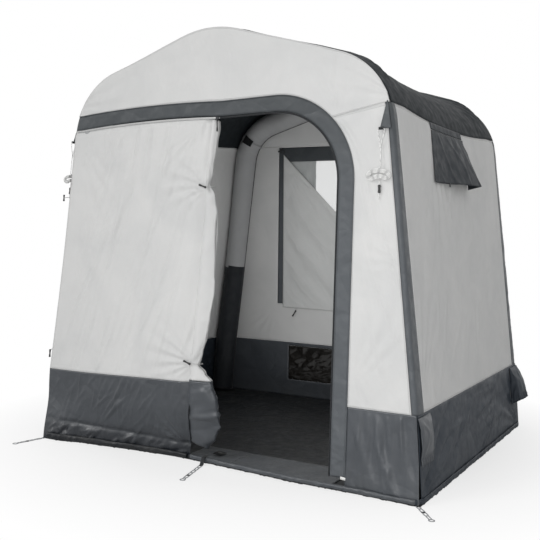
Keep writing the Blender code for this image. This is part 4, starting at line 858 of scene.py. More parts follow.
ROOF_PULLS = [(0.0035, (y, 0.05), 90 + lean, 45, 0.9, 6, y) for y in (-0.80, 0.80) for lean in (-40, 40)]
WALL_PULLS = ((0.004, (0.17, 1.72), -120, 40, 0.95, 6, 0.4), (0.004, (-0.35, 1.69), -80, 35, 1.1, 5, 1.9),
              (0.003, (0.80, 0.42), 125, 40, 1.0, 6, 2.9), (0.003, (-0.82, 0.42), 60, 35, 1.0, 6, 4.4))
SIDE_BAND_PULLS = ((0.0065, (-0.88, 0.02), 30, 34, 0.9, 5, 0.6), (0.0055, (0.88, 0.02), 150, 34, 0.9, 5, 2.6))
WALL_FOLDS = folds(21, 46, 1.6, 1.35, 60, 40, 0.42, 0.022, 0.0055)
SIDE_BAND_FOLDS = folds(31, 40, 1.8, 0.385, 24, 22, 0.46, 0.028, 0.0095)
FRONT_BAND_FOLDS = folds(33, 84, 0.96, 0.385, 68, 30, 0.19, 0.015, 0.0078)


def roof_wrinkle(a, b, p):
    return taut(4.1, 0.0035, 0.34)(a, b, p) + pulls(p.y, b, ROOF_PULLS)


def wall_wrinkle(a, b, p):
    return taut(7.7, 0.0030, 0.26, 1.5)(a, b, p) + WALL_FOLDS(a, b) + pulls(p.y, p.z, WALL_PULLS)


def side_band_wrinkle(a, b, p):
    """Smooth, with long pulls up from the foot and out from the front corner."""
    return 0.0045 * swell(a, b, 0.24, 2.3, 0.7) + SIDE_BAND_FOLDS(a, b) + pulls(p.y, p.z, SIDE_BAND_PULLS)


def band_wrinkle(seed, depth=0.0045):
    soft = relief([(0.7 * depth, 0.26, seed), (0.3 * depth, 0.08, seed + 4)])
    return lambda a, b, p: soft(a, b, p) + FRONT_BAND_FOLDS(a, b)


for side, word in ((1, "right"), (-1, "left")):
    roof = cloth("roof_cloth_" + word, roof_half(side), [1.74], [0.28, 0.48, 0.17], roof_wrinkle, ROOF,
                 "tent", ["roof_" + word], "dark_cloth")
    # Only the right wall has a vent
    across, up, holes = [1.62], [1.34], ()
    if side > 0:
        across, up, holes = [0.52, 0.41, 0.65], [1.10, 0.18, 0.04], [(1, 1)]
    wall = cloth("wall_cloth_" + word, wall_surface(side), across, up, wall_wrinkle, LIGHT, "tent",
                 [word + "_wall"], holes=holes)
    # The side bands take the shaded copy of the mud band cloth, as painted shade
    band = cloth("mud_band_cloth_" + word, band_surface(side), [1.79], [0.385], side_band_wrinkle,
                 SHADED_SIDE_CLOTH, "tent", [word + "_mud_band"], "dark_cloth")


# Corner strips down the legs
def strip_surface(x_side, y_side, back):
    def section(share, z):
        if back == 0:
            return 0.0, mix(0.0, strip_side(z), share)
        if share < 0.3:
            return mix(back, STRIP_ROUND, share / 0.3), 0.0
        if share > 0.7:
            return 0.0, mix(STRIP_ROUND, strip_side(z), (share - 0.7) / 0.3)
        angle = (share - 0.3) / 0.4 * pi / 2
        return STRIP_ROUND * (1 - sin(angle)), STRIP_ROUND * (1 - cos(angle))

    def surface(u, v):
        if x_side * y_side > 0:
            u = 1 - u
        point, normal = arch_at(mix(BAND_S + SEAM, EAVE_S - CURVED_SEAM, v))
        from_side, from_end = section(u, point.y)
        if back == 0:
            from_end += 0.010 * (1 - u)
        x = point.x - from_side
        return Vector((x_side * x, y_side * (face_y(point.y) - from_end), point.y))
    return surface


for y_side, end in ((-1, "front"), (1, "rear")):
    for x_side, word in ((1, "right"), (-1, "left")):
        has_return = (x_side, y_side) != (-1, -1)
        cloth(f"corner_strip_cloth_{end}_{word}",
              strip_surface(x_side, y_side, STRIP_RETURN if has_return else 0.0),
              [0.10 if has_return else 0.065], [1.38],
              relief([(0.0018, 0.05, 3.3, 1.4)], [(0.0012, 0.06, 1.3, 0.6)]), TRIM, "tent",
              [f"corner_strip_{end}_{word}"], "trim_cloth", step=min(STEP, 0.009), sewn=0.012)


# Door edge, its trim and zip
HEAD_BOW, BOW_X, BOW_HALF = 0.014, -0.42, 0.44


def run_height(x):
    """The door's head falls to the left and bows up a little."""
    return DOOR_TOP - DOOR_FALL * (ARC_X - x) + HEAD_BOW * max(0.0, 1 - ((x - BOW_X) / BOW_HALF) ** 2)


def door_edge(t, offset):
    """Point (x, z) at t, 0 to 1 on the top, 1 to 2 round the corner, 2 to 3 down the leg."""
    if t <= 1:
        guess = run_height(-WIDTH / 2 + 0.2) + offset
        x = mix(-(half_width(guess) - INSIDE), ARC_X, t)
        return Vector((x, run_height(x) + offset))
    if t <= 2:
        angle = pi / 2 * (2 - t)
        radius = DOOR_CORNER_RADIUS + offset
        return Vector((ARC_X + radius * cos(angle), ARC_Z + radius * sin(angle)))
    return Vector((DOOR_LEG_X + offset, mix(ARC_Z, DOOR_FOOT, t - 2)))


def trim_surface(u, v):
    point = door_edge(u, mix(0.005 * sin(pi * min(u, 1.0)), TRIM_WIDTH, v))
    return front_point(point.x, point.y)


TRIM_FOLDS = folds(61, 110, 3.2, 0.075, 60, 50, 0.09, 0.014, 0.0075)


def trim_wrinkle(a, b, p):
    low = 1 - smooth((p.z - 0.10) / 0.45) if p.x > 0.5 else 0.0
    high = 0.0022 * swell(a, b, 0.07, 2.2, 1.5) + 0.0016 * crest(a, b, 0.05, 5.1, 2.0)
    return high + (0.3 + 0.7 * low) * TRIM_FOLDS(a, b) + low * 0.004 * swell(a, b, 0.05, 8.1)


cloth("door_trim_cloth", trim_surface, [1.27, 0.58, 1.34], [TRIM_WIDTH], trim_wrinkle, TRIM, "tent",
      ["door_trim"], "trim_cloth", step=min(STEP, 0.010), sewn=0.015)


def edge_points(offset, start, end, count, out=0.0):
    return [front_point(*door_edge(mix(start, end, k / count), offset), out) for k in range(count + 1)]


tube("door_trim_piping", edge_points(TRIM_WIDTH - 0.001, 0.0, 3.0, 150, 0.0012), 0.0022, TRIM, "tent",
     slot="trim_cloth")


# Where the zip is closed, its tape and teeth are the leaf's colour
ZIP_CLOSED = 0.742
TOOTH_SIZE, TOOTH_PITCH, TOOTH_LEAN = (0.0013, 0.0018, 0.0032), 0.0046, 0.0011
TAPE_BACK, TAPE_STEP, HEAD_LENGTH = 0.0012, 0.02, 1.27


def zip_piece(name, start, end, finish):
    """Two rows of coil teeth that meet at the middle of the tape."""
    shape = bmesh.new()
    line = edge_points(-SEAM - ZIP_WIDTH / 2, start, end, 1200)
    far, last, back = 0.0, line[0], Vector((0, 1, 0))
    for point in line[1:]:
        far += (point - last).length
        if far >= TOOTH_PITCH:
            way = (point - last).normalized()
            side = way.cross(back).normalized()
            for k, lean in ((0, 1), (1, -1)):
                spot = point + way * (TOOTH_PITCH / 2 * k) + side * TOOTH_LEAN * lean - back * 0.0003
                turn = Matrix((way, back, side)).transposed().to_4x4()
                block(shape, TOOTH_SIZE, Matrix.Translation(spot) @ turn)
            far = 0.0
        last = point
    place_piece(shape, name, finish, "tent", slot="zip_metal", smooth_faces=False)


def tape_surface(start, end):
    def surface(u, v):
        t = mix(start, end, u) if u <= 1 else u
        return front_point(*door_edge(t, mix(-SEAM - ZIP_WIDTH, -SEAM, v)), -TAPE_BACK)
    return surface


zip_piece("zip_teeth_closed", 0.0, ZIP_CLOSED, LIGHT)
zip_piece("zip_teeth", ZIP_CLOSED, 3.0, ZIP)
cloth("zip_tape_closed", tape_surface(0.0, ZIP_CLOSED), [HEAD_LENGTH * ZIP_CLOSED], [ZIP_WIDTH], None, LIGHT,
      "tent", slot="light_cloth", step=TAPE_STEP)
cloth("zip_tape", tape_surface(ZIP_CLOSED, 1.0), [HEAD_LENGTH * (1 - ZIP_CLOSED), 0.55, 1.34], [ZIP_WIDTH],
      None, BLACK_CLOTH, "tent", ["zip_track"], "zip_metal", step=TAPE_STEP)

# The line of the front's foot, as places across and how far each stands back
ROLL_HEIGHT, ROLL_OUT, ROLL_CORNER = 0.032, 0.012, 0.050
FOOT_X, FOOT_BACK = zip((-1.10, -0.034), (-0.95, -0.030), (-0.84, 0.0), (-0.72, 0.012), (-0.58, 0.030),
                        (-0.42, 0.048), (-0.25, 0.058), (-0.12, 0.052), (0.05, 0.036), (0.25, 0.020),
                        (0.45, 0.0), (0.80, -0.004), (1.0, -0.016), (1.12, -0.026))


def foot_back(x):
    """How far the foot of the front stands behind its flat plane: it isn't pegged out quite straight."""
    return float(np.interp(x, FOOT_X, FOOT_BACK))


# Front brow over the door
TRIM_OUT = TRIM_WIDTH + SEAM
BROW_SEAM_T = 1.5
SEAM_START = door_edge(BROW_SEAM_T, TRIM_OUT)
SEAM_END = Vector((half_width(EAVE_HEIGHT) - STRIP_RETURN, EAVE_HEIGHT))
BROW_CORNER = Vector((half_width(EAVE_HEIGHT, True), EAVE_HEIGHT))


def brow_surface(u, v):
    if u <= 1:
        foot = door_edge(u, TRIM_OUT)
        if u == 0:
            foot = Vector((-half_width(foot.y) - 0.0004, foot.y))
    elif u <= 2:
        foot = door_edge(mix(1, BROW_SEAM_T, u - 1), TRIM_OUT)
    elif u <= 3:
        foot = SEAM_START.lerp(SEAM_END, u - 2)
    else:
        foot = SEAM_END.lerp(BROW_CORNER, u - 3)
    top_x = foot.x * 0.985
    top_z = float(np.interp(-abs(top_x), -TABLE[:, 0], TABLE[:, 1]))
    return front_point(mix(foot.x, top_x, v), mix(foot.y, top_z + 0.0004, v), 0.0006)


BROW_FOLDS = folds(5, 44, 2.0, 0.34, 96, 26, 0.28, 0.026, 0.0038)
BROW_PULLS = ((0.004, (-0.96, 1.80), 25, 40, 0.9, 5, 0.7), (0.004, (0.95, 1.76), 150, 40, 0.9, 5, 2.1),
              (0.003, (0.66, 1.70), 110, 45, 0.5, 5, 3.1))


def brow_wrinkle(a, b, p):
    high = taut(1.2, 0.0022, 0.30)(a, b, p) + 0.0030 * swell(p.x + 0.30 * p.z, p.z, 0.12, 5.6, 6.0)
    return high + BROW_FOLDS(a, b) + pulls(p.x, p.z, BROW_PULLS)


brow = cloth("brow_cloth", brow_surface, [1.27, 0.29, 0.42, 0.03], [0.30], brow_wrinkle, LIGHT, "tent",
             ["front_brow"])


def right_panel_surface(u, v):
    gap = SEAM * 1.5
    if v <= 1:
        left = Vector((DOOR_LEG_X + TRIM_OUT, mix(BAND_TOP + SEAM, ARC_Z, v)))
    else:
        arc_length = pi / 2 * (DOOR_CORNER_RADIUS + TRIM_OUT)
        left = door_edge(2 - (v - 1) * (2 - BROW_SEAM_T - gap / arc_length), TRIM_OUT)
    z = mix(BAND_TOP + SEAM, EAVE_HEIGHT - gap, v / 2)
    right = Vector((half_width(z) - STRIP_RETURN - CURVED_SEAM, z))
    point = left.lerp(right, u)
    return front_point(point.x, point.y)


PANEL_FOLDS = folds(12, 22, 0.28, 1.36, 104, 16, 0.55, 0.021, 0.0080)
PANEL_PULLS = ((0.004, (0.74, 0.45), 65, 35, 1.0, 5, 1.1), (0.003, (0.97, 1.05), 180, 60, 0.3, 5, 2.0),
               (0.002, (0.88, 1.63), -90, 50, 0.5, 5, 0.2))


def right_panel_wrinkle(a, b, p):
    return taut(3.9, 0.0024, 0.22, 1.6)(a, b, p) + PANEL_FOLDS(a, b) + pulls(p.x, p.z, PANEL_PULLS)


cloth("front_right_cloth", right_panel_surface, [0.28], [1.02, 0.34], right_panel_wrinkle, LIGHT, "tent",
      ["front_right_panel"])


def right_band_surface(u, v):
    z = mix(FLOOR, BAND_TOP - SEAM, v)
    x = mix(DOOR_LEG_X + TRIM_OUT, half_width(z, True), u)
    return front_point(x, z, -foot_back(x) * (1 - smooth(z / 0.20)))


RIGHT_BAND_FOLDS = folds(52, 40, 0.36, 0.38, 97, 18, 0.36, 0.023, 0.0092)
cloth("front_right_band_cloth", right_band_surface, [0.36], [0.38],
      lambda a, b, p: RIGHT_BAND_FOLDS(a, b) + 0.005 * swell(a, b, 0.16, 1.4, 2.0), DARK, "tent",
      ["front_right_mud_band"], "dark_cloth", step=FINE_STEP)


# Door half that is still zipped in
PINCHES, TOGGLE_HEIGHTS = (1.395, 0.505), (1.385, 0.505)


def fold_x(z):
    return FOLD_X_TOP - FOLD_LEAN * (FOLD_TOP - z)


def leaf_left(z):
    return -half_width(z) - 0.0006


def fold_back(x, z):
    """The leaf turns in beside its fold, except where a tie pinches it."""
    away = min(abs(z - pinch) for pinch in PINCHES)
    return 0.017 * smooth((x - fold_x(z) + 0.055) / 0.05) * smooth(away / 0.10)


def tight(p, high):
    """Cloth that lies on the front beam doesn't sink into it."""
    aside = abs(abs(p.x) - (half_width(p.z) - BEAM_INSET))
    return mix(high, max(high, 0.0003), 1 - smooth((aside - 0.035) / 0.03))


def leaf_surface(low, high):
    """With no height given, its head follows the door's and tucks in behind the zip's tape."""
    def surface(u, v):
        def edge(x_of):
            top_z = run_height(x_of(DOOR_TOP)) - ZIP_WIDTH / 2 if high is None else high
            z = mix(low, top_z, v)
            return Vector((x_of(z), z))
        left, right = edge(leaf_left), edge(lambda z: fold_x(z) - SEAM)
        point = left.lerp(right, u)
        if high is None:
            point.y += (run_height(point.x) - mix(run_height(left.x), run_height(right.x), u)) * v ** 3
        back = foot_back(point.x) * (1 - smooth((point.y - 0.02) / 0.24)) + fold_back(point.x, point.y)
        rise = 0.020 * smooth((point.x + 1.0) / 0.95) * max(0.0, 1 - abs(point.y - BAND_TOP) / 0.30)
        under = 0.0060 * smooth((point.y - run_height(point.x) + 0.030) / 0.014)
        return front_point(point.x, point.y + rise, -back - under)
    return surface


LEAF_FOLDS = folds(3, 46, 0.9, 1.3, 78, 8, 0.80, 0.017, 0.0095)
LEAF_HEAD_FOLDS = folds(8, 50, 0.9, 0.30, 84, 10, 0.30, 0.014, 0.0070)
LEAF_PULLS = (*((0.007, (fold_x(z) + 0.01, z), 180, 62, 0.42, 6, z) for z in TOGGLE_HEIGHTS),
              (0.003, (-0.93, 1.68), -62, 34, 1.2, 5, 0.4), (0.004, (-0.10, 1.68), -125, 36, 0.9, 5, 1.4))


def leaf_wrinkle(a, b, p):
    """Long upright folds, leaning in from the top left, with pulls at the two toggles."""
    drape = 0.0050 * swell(a - 0.20 * b, b, 0.17, 1.7, 8.0) + 0.0026 * crest(a - 0.22 * b, b, 0.15, 6.3, 9.0)
    drape += LEAF_FOLDS(a, b) + LEAF_HEAD_FOLDS(a, b - 1.05) + 0.0010 * swell(a, b, 0.09, 4.2, 1.6)
    drape += 0.0045 * smooth((p.x + 0.42) / 0.30) * swell(a, b, 0.045, 2.9, 9.0)
    return tight(p, drape + pulls(p.x, p.z, LEAF_PULLS))


leaf = cloth("door_leaf_cloth", leaf_surface(BAND_TOP + SEAM, None), [0.92], [1.31], leaf_wrinkle, LIGHT,
             "door_leaf", ["door_leaf_panel"], free="right", step=min(STEP, 0.0085))


LOW_BAND_FOLDS = folds(41, 90, 0.96, 0.13, 40, 35, 0.13, 0.015, 0.0105)


def leaf_band_wrinkle(a, b, p):
    """Creased most below the line where the cloth starts to turn under."""
    drape = band_wrinkle(8.8, 0.0055)(a, b, p)
    turned = 0.112 - 0.035 * a
    drape -= 0.0080 * smooth(1 - abs(b - turned) / 0.016)
    drape += smooth((turned - b) / 0.04) * LOW_BAND_FOLDS(a, b)
    return tight(p, drape + 0.006 * fan(p.x, p.z, (-0.15, 0.05), 135, 40, 0.4, 5, 0.9))


def leaf_roll_surface(u, v):
    x = mix(-WIDTH / 2 - 0.004, fold_x(0.0) - 0.006, u)
    angle = mix(0.62, -1.0, 1 - v) * pi / 2
    puff = ROLL_OUT * (1.1 + 0.5 * noise.noise(Vector((u * 9, 2.2, 5.1))))
    high = max(0.0, (ROLL_HEIGHT + 0.012 * (1 - u)) / 2 * (1 + sin(angle)) + 0.002)
    corner = ROLL_CORNER * (1 - smooth((x + WIDTH / 2) / ROLL_CORNER)) ** 1.6
    return Vector((x, -DEPTH / 2 + foot_back(x) + corner - puff * cos(angle), high))


def roll_wrinkle(depth, size):
    return lambda a, b, p: depth * crest(a - b, b, size, 3.7) + 0.0020 * swell(a, b, 0.03, 1.2)


cloth("door_leaf_foot_roll", leaf_roll_surface, [0.95], [0.055], roll_wrinkle(0.0045, 0.045), GROUND,
      "door_leaf", slot="ground_cloth", step=ROLL_STEP, sewn=0.006)
leaf_band = cloth("door_leaf_band_cloth", leaf_surface(FLOOR, BAND_TOP - SEAM), [0.96], [0.382],
                  leaf_band_wrinkle, LEAF_BAND, "door_leaf", ["door_leaf_mud_band"], "dark_cloth",
                  free="right", step=FINE_STEP)

# Door half tied back: pleats stacked behind the leaf's edge, pinched by two toggled ties
PLEATS, HALF_CLOTH, HALF_STEP, HALF_HEAD = 8.4, 0.95, 0.0078, 1.706
# Its height, and its width and depth there
HALF_SHAPE = (
    (0.078, 0.150, 0.045), (0.12, 0.205, 0.060), (0.20, 0.225, 0.068), (0.31, 0.205, 0.066),
    (0.385, 0.158, 0.056), (0.438, 0.108, 0.046), (0.499, 0.054, 0.034), (0.56, 0.074, 0.044),
    (0.63, 0.088, 0.050), (0.73, 0.102, 0.054), (0.85, 0.115, 0.054), (1.07, 0.099, 0.054),
    (1.25, 0.083, 0.050), (1.326, 0.064, 0.042), (1.398, 0.018, 0.030), (1.45, 0.030, 0.036),
    (1.595, 0.042, 0.042), (1.67, 0.050, 0.042), (1.705, 0.046, 0.040), (1.728, 0.028, 0.036),
)


def half_size(z):
    for (z0, w0, d0), (z1, w1, d1) in zip(HALF_SHAPE, HALF_SHAPE[1:]):
        if z <= z1:
            break
    share = smooth((z - z0) / (z1 - z0))
    return mix(w0, w1, share), mix(d0, d1, share)


def half_surface(low, high):
    def surface(u, v):
        z = mix(low, high, v)
        width, depth = half_size(z)
        turn = u * PLEATS
        k = int(turn + 0.5)
        reach = 0.5 - 0.5 * cos(2 * pi * turn)
        reach *= mix(0.72, 1.0, 0.5 + 0.5 * noise.noise(Vector((k * 1.9, z * 2.6, 4.4))))
        if int(turn) not in (0, 3):
            reach *= min(max((HALF_CLOTH / (2 * width) - 2) / (PLEATS - 2), 0.10), 1.0)
        reach += 0.07 * noise.noise(Vector((u * 4, z * 7, 8.8)))
        sway = 0.5 + 0.30 * noise.noise(Vector((k * 0.9, z * 3.1, 1.1)))
        bow = 0.24 * sin(2 * pi * turn + pi / 2) * sway / PLEATS
        roll = 0.020 * smooth((reach - 0.35) / 0.65) if turn < 0.5 else 0.020
        y = depth * min(max(u * 0.93 + bow, 0.0), 1.0) * smooth(turn * 5) + roll
        y += (fold_back(fold_x(z), z) + 0.002) * (1 - smooth(turn * 6))
        y += foot_back(fold_x(z)) * (1 - smooth((z - 0.02) / 0.24)) + 0.014 * (1 - smooth((z - 0.26) / 0.08))
        x = fold_x(z) - 0.010 + (width + 0.006) * reach - 0.5 * y * reach
        droop = 0.035 * smooth((0.16 - z) / 0.10) * reach
        rise = 0.032 * max(0.0, 1 - abs(z - BAND_TOP) / 0.11)
        return Vector((x, y - face_y(z), z + rise - droop + 0.02 * smooth((0.2 - z) / 0.15)))
    return surface


HALF_FOLDS = folds(72, 34, 0.16, 1.3, 86, 9, 0.42, 0.011, 0.0060)


def half_wrinkle(a, b, p):
    high = (HALF_FOLDS(a, b) if a < 0.2 else 0.0) + 0.0020 * crest(a, b, 0.05, 5.2, 3.0)
    high += 0.0015 * swell(a, b, 0.04, 2.4, 2.0)
    for z in PINCHES:
        near = 1 - smooth(abs(p.z - z) / 0.16)
        high += near * 0.0032 * sin(a * 160 + 3 * sin(p.z * 30))
    return high


HALF_BAND_FOLDS = folds(71, 44, 0.25, 0.34, 72, 40, 0.17, 0.016, 0.0150)


def half_band_wrinkle(a, b, p):
    return half_wrinkle(a, b, p) + HALF_BAND_FOLDS(a, b) + 0.004 * crest(a, b, 0.07, 7.2)


half = cloth("door_half_cloth", half_surface(BAND_TOP + SEAM, HALF_HEAD), [0.80], [1.32], half_wrinkle,
             LIGHT, "door_half", ["door_half_gathered"], free="left right foot head", step=HALF_STEP)
half_band = cloth("door_half_band_cloth", half_surface(FOLD_FOOT, BAND_TOP - SEAM), [1.10], [0.34],
                  half_band_wrinkle, DARK, "door_half", ["door_half_mud_band"], "dark_cloth",
                  free="left right foot head", step=HALF_STEP)


# Sill and groundsheet
def sill_surface(left, right):
    def surface(u, v):
        x = mix(left, right, u)
        wave = 0.004 * (0.5 - 0.5 * cos(2 * pi * (x - SILL_LEFT) / 0.17)) * sin(pi * v)
        front = -DEPTH / 2 + SILL_SET_IN + max(0.0, foot_back(x))
        return Vector((x, mix(front, -DEPTH / 2 + SILL_SET_IN + SILL_DEPTH, v), FLOOR + CLOTH + wave))
    return surface


sill_wrinkle = relief([(0.0015, 0.06, 6.1)], [(0.0025, 0.08, 3.1, 0.8)])
sill = cloth("sill_cloth", sill_surface(SILL_SPLIT, SILL_RIGHT), [0.577], [0.30], sill_wrinkle, DARK,
             "sill_flap", ["sill_flap"], "dark_cloth")
cloth("sill_left_cloth", sill_surface(SILL_LEFT, SILL_SPLIT - SEAM), [0.275], [0.30], sill_wrinkle, DARK,
      "tent", ["sill_left_end"], "dark_cloth")


def ground_surface(u, v):
    """A flat sheet whose front edge stands back with the foot; its thickness makes its edge full thickness.
    """
    x = mix(-WIDTH / 2, WIDTH / 2, u)
    return Vector((x, mix(-DEPTH / 2 + foot_back(x), DEPTH / 2, v), GROUND_THICKNESS))


def ground_wrinkle(a, b, p):
    inside = smooth(min(a, WIDTH - a, b, DEPTH - b) / 0.2)
    return inside * (0.0022 * crest(a, b, 0.22, 2.7) + 0.0012 * swell(a, b, 0.1, 5.0))


ground = cloth("groundsheet_cloth", ground_surface, [WIDTH], [DEPTH], ground_wrinkle, GROUND, "tent",
               ["groundsheet"], "ground_cloth", thick=GROUND_THICKNESS)


# The groundsheet turns up round the foot of the bands as a soft black roll
def foot_line(far):
    """Point and outward direction at a length along the foot, from the front, by the right, to the left."""
    half_x, half_y, bend = WIDTH / 2, DEPTH / 2, pi / 2 * ROLL_CORNER
    corners = ((half_x, -half_y), (half_x, half_y), (-half_x, half_y), (-half_x, -half_y))
    ways = (Vector((1, 0)), Vector((0, 1)), Vector((-1, 0)), Vector((0, -1)))
    place = Vector((ROLL_FROM, -half_y))
    for way, corner in zip(ways, corners):
        straight = abs((Vector(corner) - place).dot(way)) - ROLL_CORNER
        outward = Vector((way.y, -way.x))
        if far <= straight:
            return place + way * far, outward
        far -= straight
        if corner is corners[3]:
            return place + way * straight, outward
        centre = place + way * straight - outward * ROLL_CORNER
        if far <= bend:
            turn = far / ROLL_CORNER
            out = outward * cos(turn) + way * sin(turn)
            return centre + out * ROLL_CORNER, out
        far -= bend
        place = centre + way * ROLL_CORNER
    return place, outward


ROLL_FROM = -0.150
ROLL_LENGTH = (WIDTH / 2 - ROLL_FROM) + 2 * DEPTH + WIDTH - 6.7 * ROLL_CORNER + 3 * pi / 2 * ROLL_CORNER


def roll_surface(u, v):
    place, out = foot_line(u * ROLL_LENGTH)
    angle = mix(0.55, -1.0, 1 - v) * pi / 2
    at_side = place.x > WIDTH / 2 - 0.01
    rough = 0.15 if at_side or (place.y < -DEPTH / 2 + 0.01 and place.x < 0.75) else 1.0
    puff = ROLL_OUT * (0.45 if at_side else 1.0) * (1 + 0.5 * rough * noise.noise(Vector((u * 26, 3.3, 1.1))))
    lift = 0.002 + 0.004 * rough * v * noise.noise(Vector((u * 40, 1, 7)))
    high = max(0.0, ROLL_HEIGHT / 2 * (1 + sin(angle)) + lift)
    reach = puff * cos(angle) + 0.001
    back = foot_back(place.x) if place.y < -DEPTH / 2 + 0.06 else 0.0
    return Vector((place.x + out.x * reach, place.y + out.y * reach + back, high))


roll = cloth("groundsheet_foot_roll", roll_surface, [ROLL_LENGTH], [0.05], roll_wrinkle(0.0040, 0.04), GROUND,
             "tent", slot="ground_cloth", step=ROLL_STEP, sewn=0.006)
# Painted shade: the roll's faces along the right side take the shaded copy of the mud band cloth, and those
# at the door take the mud band cloth itself
roll.data.materials.append(DARK)
roll.data.materials.append(SHADED_SIDE_CLOTH)
for face in roll.data.polygons:
    if face.center.x > WIDTH / 2 - 0.02:
        face.material_index = 2
    elif face.center.x > -0.14 and face.center.y < -0.84 and face.center.z > 0.008:
        face.material_index = 1


# Rear wall, gable and band, with the window and the low vent let in
def rear_x_stops(z, inner):
    edge = half_width(z) - STRIP_RETURN - CURVED_SEAM
    if z > EAVE_HEIGHT + SEAM / 2 or z < BAND_TOP:
        edge = half_width(z, True)
    return [edge, inner, -inner, -edge]


def rear_wall_surface(u, v):
    z = pick([BAND_TOP + SEAM, WINDOW_LOW, WINDOW_HIGH, REAR_SEAM_HEIGHT], v)
    return rear_point(pick(rear_x_stops(z, WINDOW_HALF_WIDTH), u), z)


REAR_PULLS = ((0.004, (-WINDOW_HALF_WIDTH, WINDOW_LOW), -135, 50, 0.5, 6, -0.61),
              (0.004, (WINDOW_HALF_WIDTH, WINDOW_LOW), -45, 50, 0.5, 6, 0.61),
              (0.003, (0.0, 0.64), -90, 80, 0.6, 9, 0.2))


def rear_wrinkle(a, b, p):
    return taut(6.4, 0.0030, 0.24, 1.3)(a, b, p) + pulls(p.x, p.z, REAR_PULLS)


rear = cloth("rear_wall_cloth", rear_wall_surface, [0.42, 1.22, 0.42], [0.27, 1.10, 0.01], rear_wrinkle,
             LIGHT, "tent", ["rear_wall"], holes=[(1, 1)])


def gable_surface(u, v):
    foot_x = mix(half_width(REAR_SEAM_HEIGHT, True), -half_width(REAR_SEAM_HEIGHT, True), u)
    top_x = foot_x * 0.985
    return rear_point(mix(foot_x, top_x, v), mix(REAR_SEAM_HEIGHT + SEAM, roof_z(top_x), v))


cloth("gable_cloth", gable_surface, [1.90], [0.30], brow_wrinkle, LIGHT, "tent", ["rear_gable"])


def rear_band_surface(u, v):
    z = pick([FLOOR, VENT_LOW, VENT_HIGH, BAND_TOP - SEAM], v)
    return rear_point(pick(rear_x_stops(z, VENT_HALF_WIDTH), u), z)


cloth("rear_band_cloth", rear_band_surface, [0.57, 1.03, 0.57], [0.117, 0.242, 0.022],
      band_wrinkle(9.1), DARK, "tent", ["rear_mud_band"], "dark_cloth", holes=[(1, 1)])


def rear_patch(stops_x, stops_z, out=0.0):
    return lambda u, v: rear_point(pick(stops_x, u), pick(stops_z, v), out)


PANE_HALF = WINDOW_HALF_WIDTH - WINDOW_SIDE
PANE_LOW, PANE_HIGH = WINDOW_LOW + WINDOW_SILL, WINDOW_HIGH - WINDOW_HEAD
PANE_HEIGHT = PANE_HIGH - PANE_LOW
BORDER_X = [WINDOW_HALF_WIDTH - SEAM, PANE_HALF, -PANE_HALF, -WINDOW_HALF_WIDTH + SEAM]
BORDER_Z = [WINDOW_LOW + SEAM, PANE_LOW, PANE_HIGH, WINDOW_HIGH - SEAM]
cloth("window_border_cloth", rear_patch(BORDER_X, BORDER_Z), [WINDOW_SIDE, 2 * PANE_HALF, WINDOW_SIDE],
      [WINDOW_SILL, PANE_HEIGHT, WINDOW_HEAD], relief([(0.002, 0.08, 4.0)]), TRIM, "tent", ["window_border"],
      "trim_cloth", holes=[(1, 1)], sewn=0.012)
cloth("window_pane", rear_patch([PANE_HALF - SEAM, -PANE_HALF + SEAM], [PANE_LOW + SEAM, PANE_HIGH - SEAM]),
      [2 * PANE_HALF], [PANE_HEIGHT], relief([(0.003, 0.30, 2.0), (0.0015, 0.1, 7.0)]), FILM, "tent",
      ["window_film"], "clear_film", thick=0.0006)
cloth("low_vent_cloth",
      rear_patch([VENT_HALF_WIDTH - SEAM, -VENT_HALF_WIDTH + SEAM], [VENT_LOW + SEAM, VENT_HIGH - SEAM]),
      [2 * VENT_HALF_WIDTH], [0.241], relief([(0.003, 0.06, 1.0)], [(0.004, 0.09, 3.0, 0.5)]), VENT_FILM,
      "tent", ["low_vent_panel"], "black_film", step=STEP * 0.7)


# Curtain: its free corner has dropped, so its head runs down a diagonal
def curtain_surface(u, v):
    u = 1 - u
    foot_left = Vector((CURTAIN_LEFT + 0.028, CURTAIN_FOOT - 0.010))
    foot_right = Vector((CURTAIN_RIGHT, CURTAIN_FOOT - 0.018))
    head_left = Vector((CURTAIN_LEFT + 0.022, CURTAIN_HEAD))
    head_right = head_left.lerp(foot_right, 0.5)
    point = foot_left.lerp(foot_right, u).lerp(head_left.lerp(head_right, u), v)
    across = (point - foot_left).dot(Vector((1, 1)).normalized())
    crease = 0.014 * (0.5 - 0.5 * cos(2 * pi * 5 * across / 0.80))
    crease *= smooth(v * 5) * smooth((1 - v) * 4) * smooth(u * 6)
    return rear_point(point.x, point.y, -2 * CLOTH - SEAM - crease)


def curtain_wrinkle(a, b, p):
    far, side = (p.x + p.z) / 1.414, (p.x - p.z) / 1.414
    high = 0.004 * swell(far, side, 0.06, 3.0, 5.0) + 0.003 * crest(far, side, 0.05, 5.0, 6.0)
    return -abs(high) - 0.003 * abs(fan(p.x, p.z, (CURTAIN_LEFT, CURTAIN_HEAD), -50, 30, 1.3, 6, 0.5))


curtain = cloth("curtain_cloth", curtain_surface, [1.20], [1.00], curtain_wrinkle, CURTAIN, "window_curtain",
                ["window_curtain"], free="left head", step=STEP * 0.8)


def blind_surface(u, v):
    x = mix(BLIND_RIGHT, BLIND_LEFT, u)
    fold = 0.012 * (0.5 - 0.5 * cos(2 * pi * 3 * u)) * smooth((1 - v) * 6)
    return rear_point(x, mix(PANE_LOW - 0.02, PANE_HIGH + 0.02, v), SEAM + CLOTH + fold)


blind = cloth("blind_cloth", blind_surface, [0.25], [0.995],
              lambda a, b, p: 0.002 * abs(swell(a, b, 0.03, 2.0, 6.0)), CURTAIN, "tent", ["window_blind"],
              free="left right foot", step=STEP * 0.6)


# Vent mesh and hood on the right wall
def right_wall_point(y, z, out=0.0):
    return side_surface(1, arch_s(z), y, out)


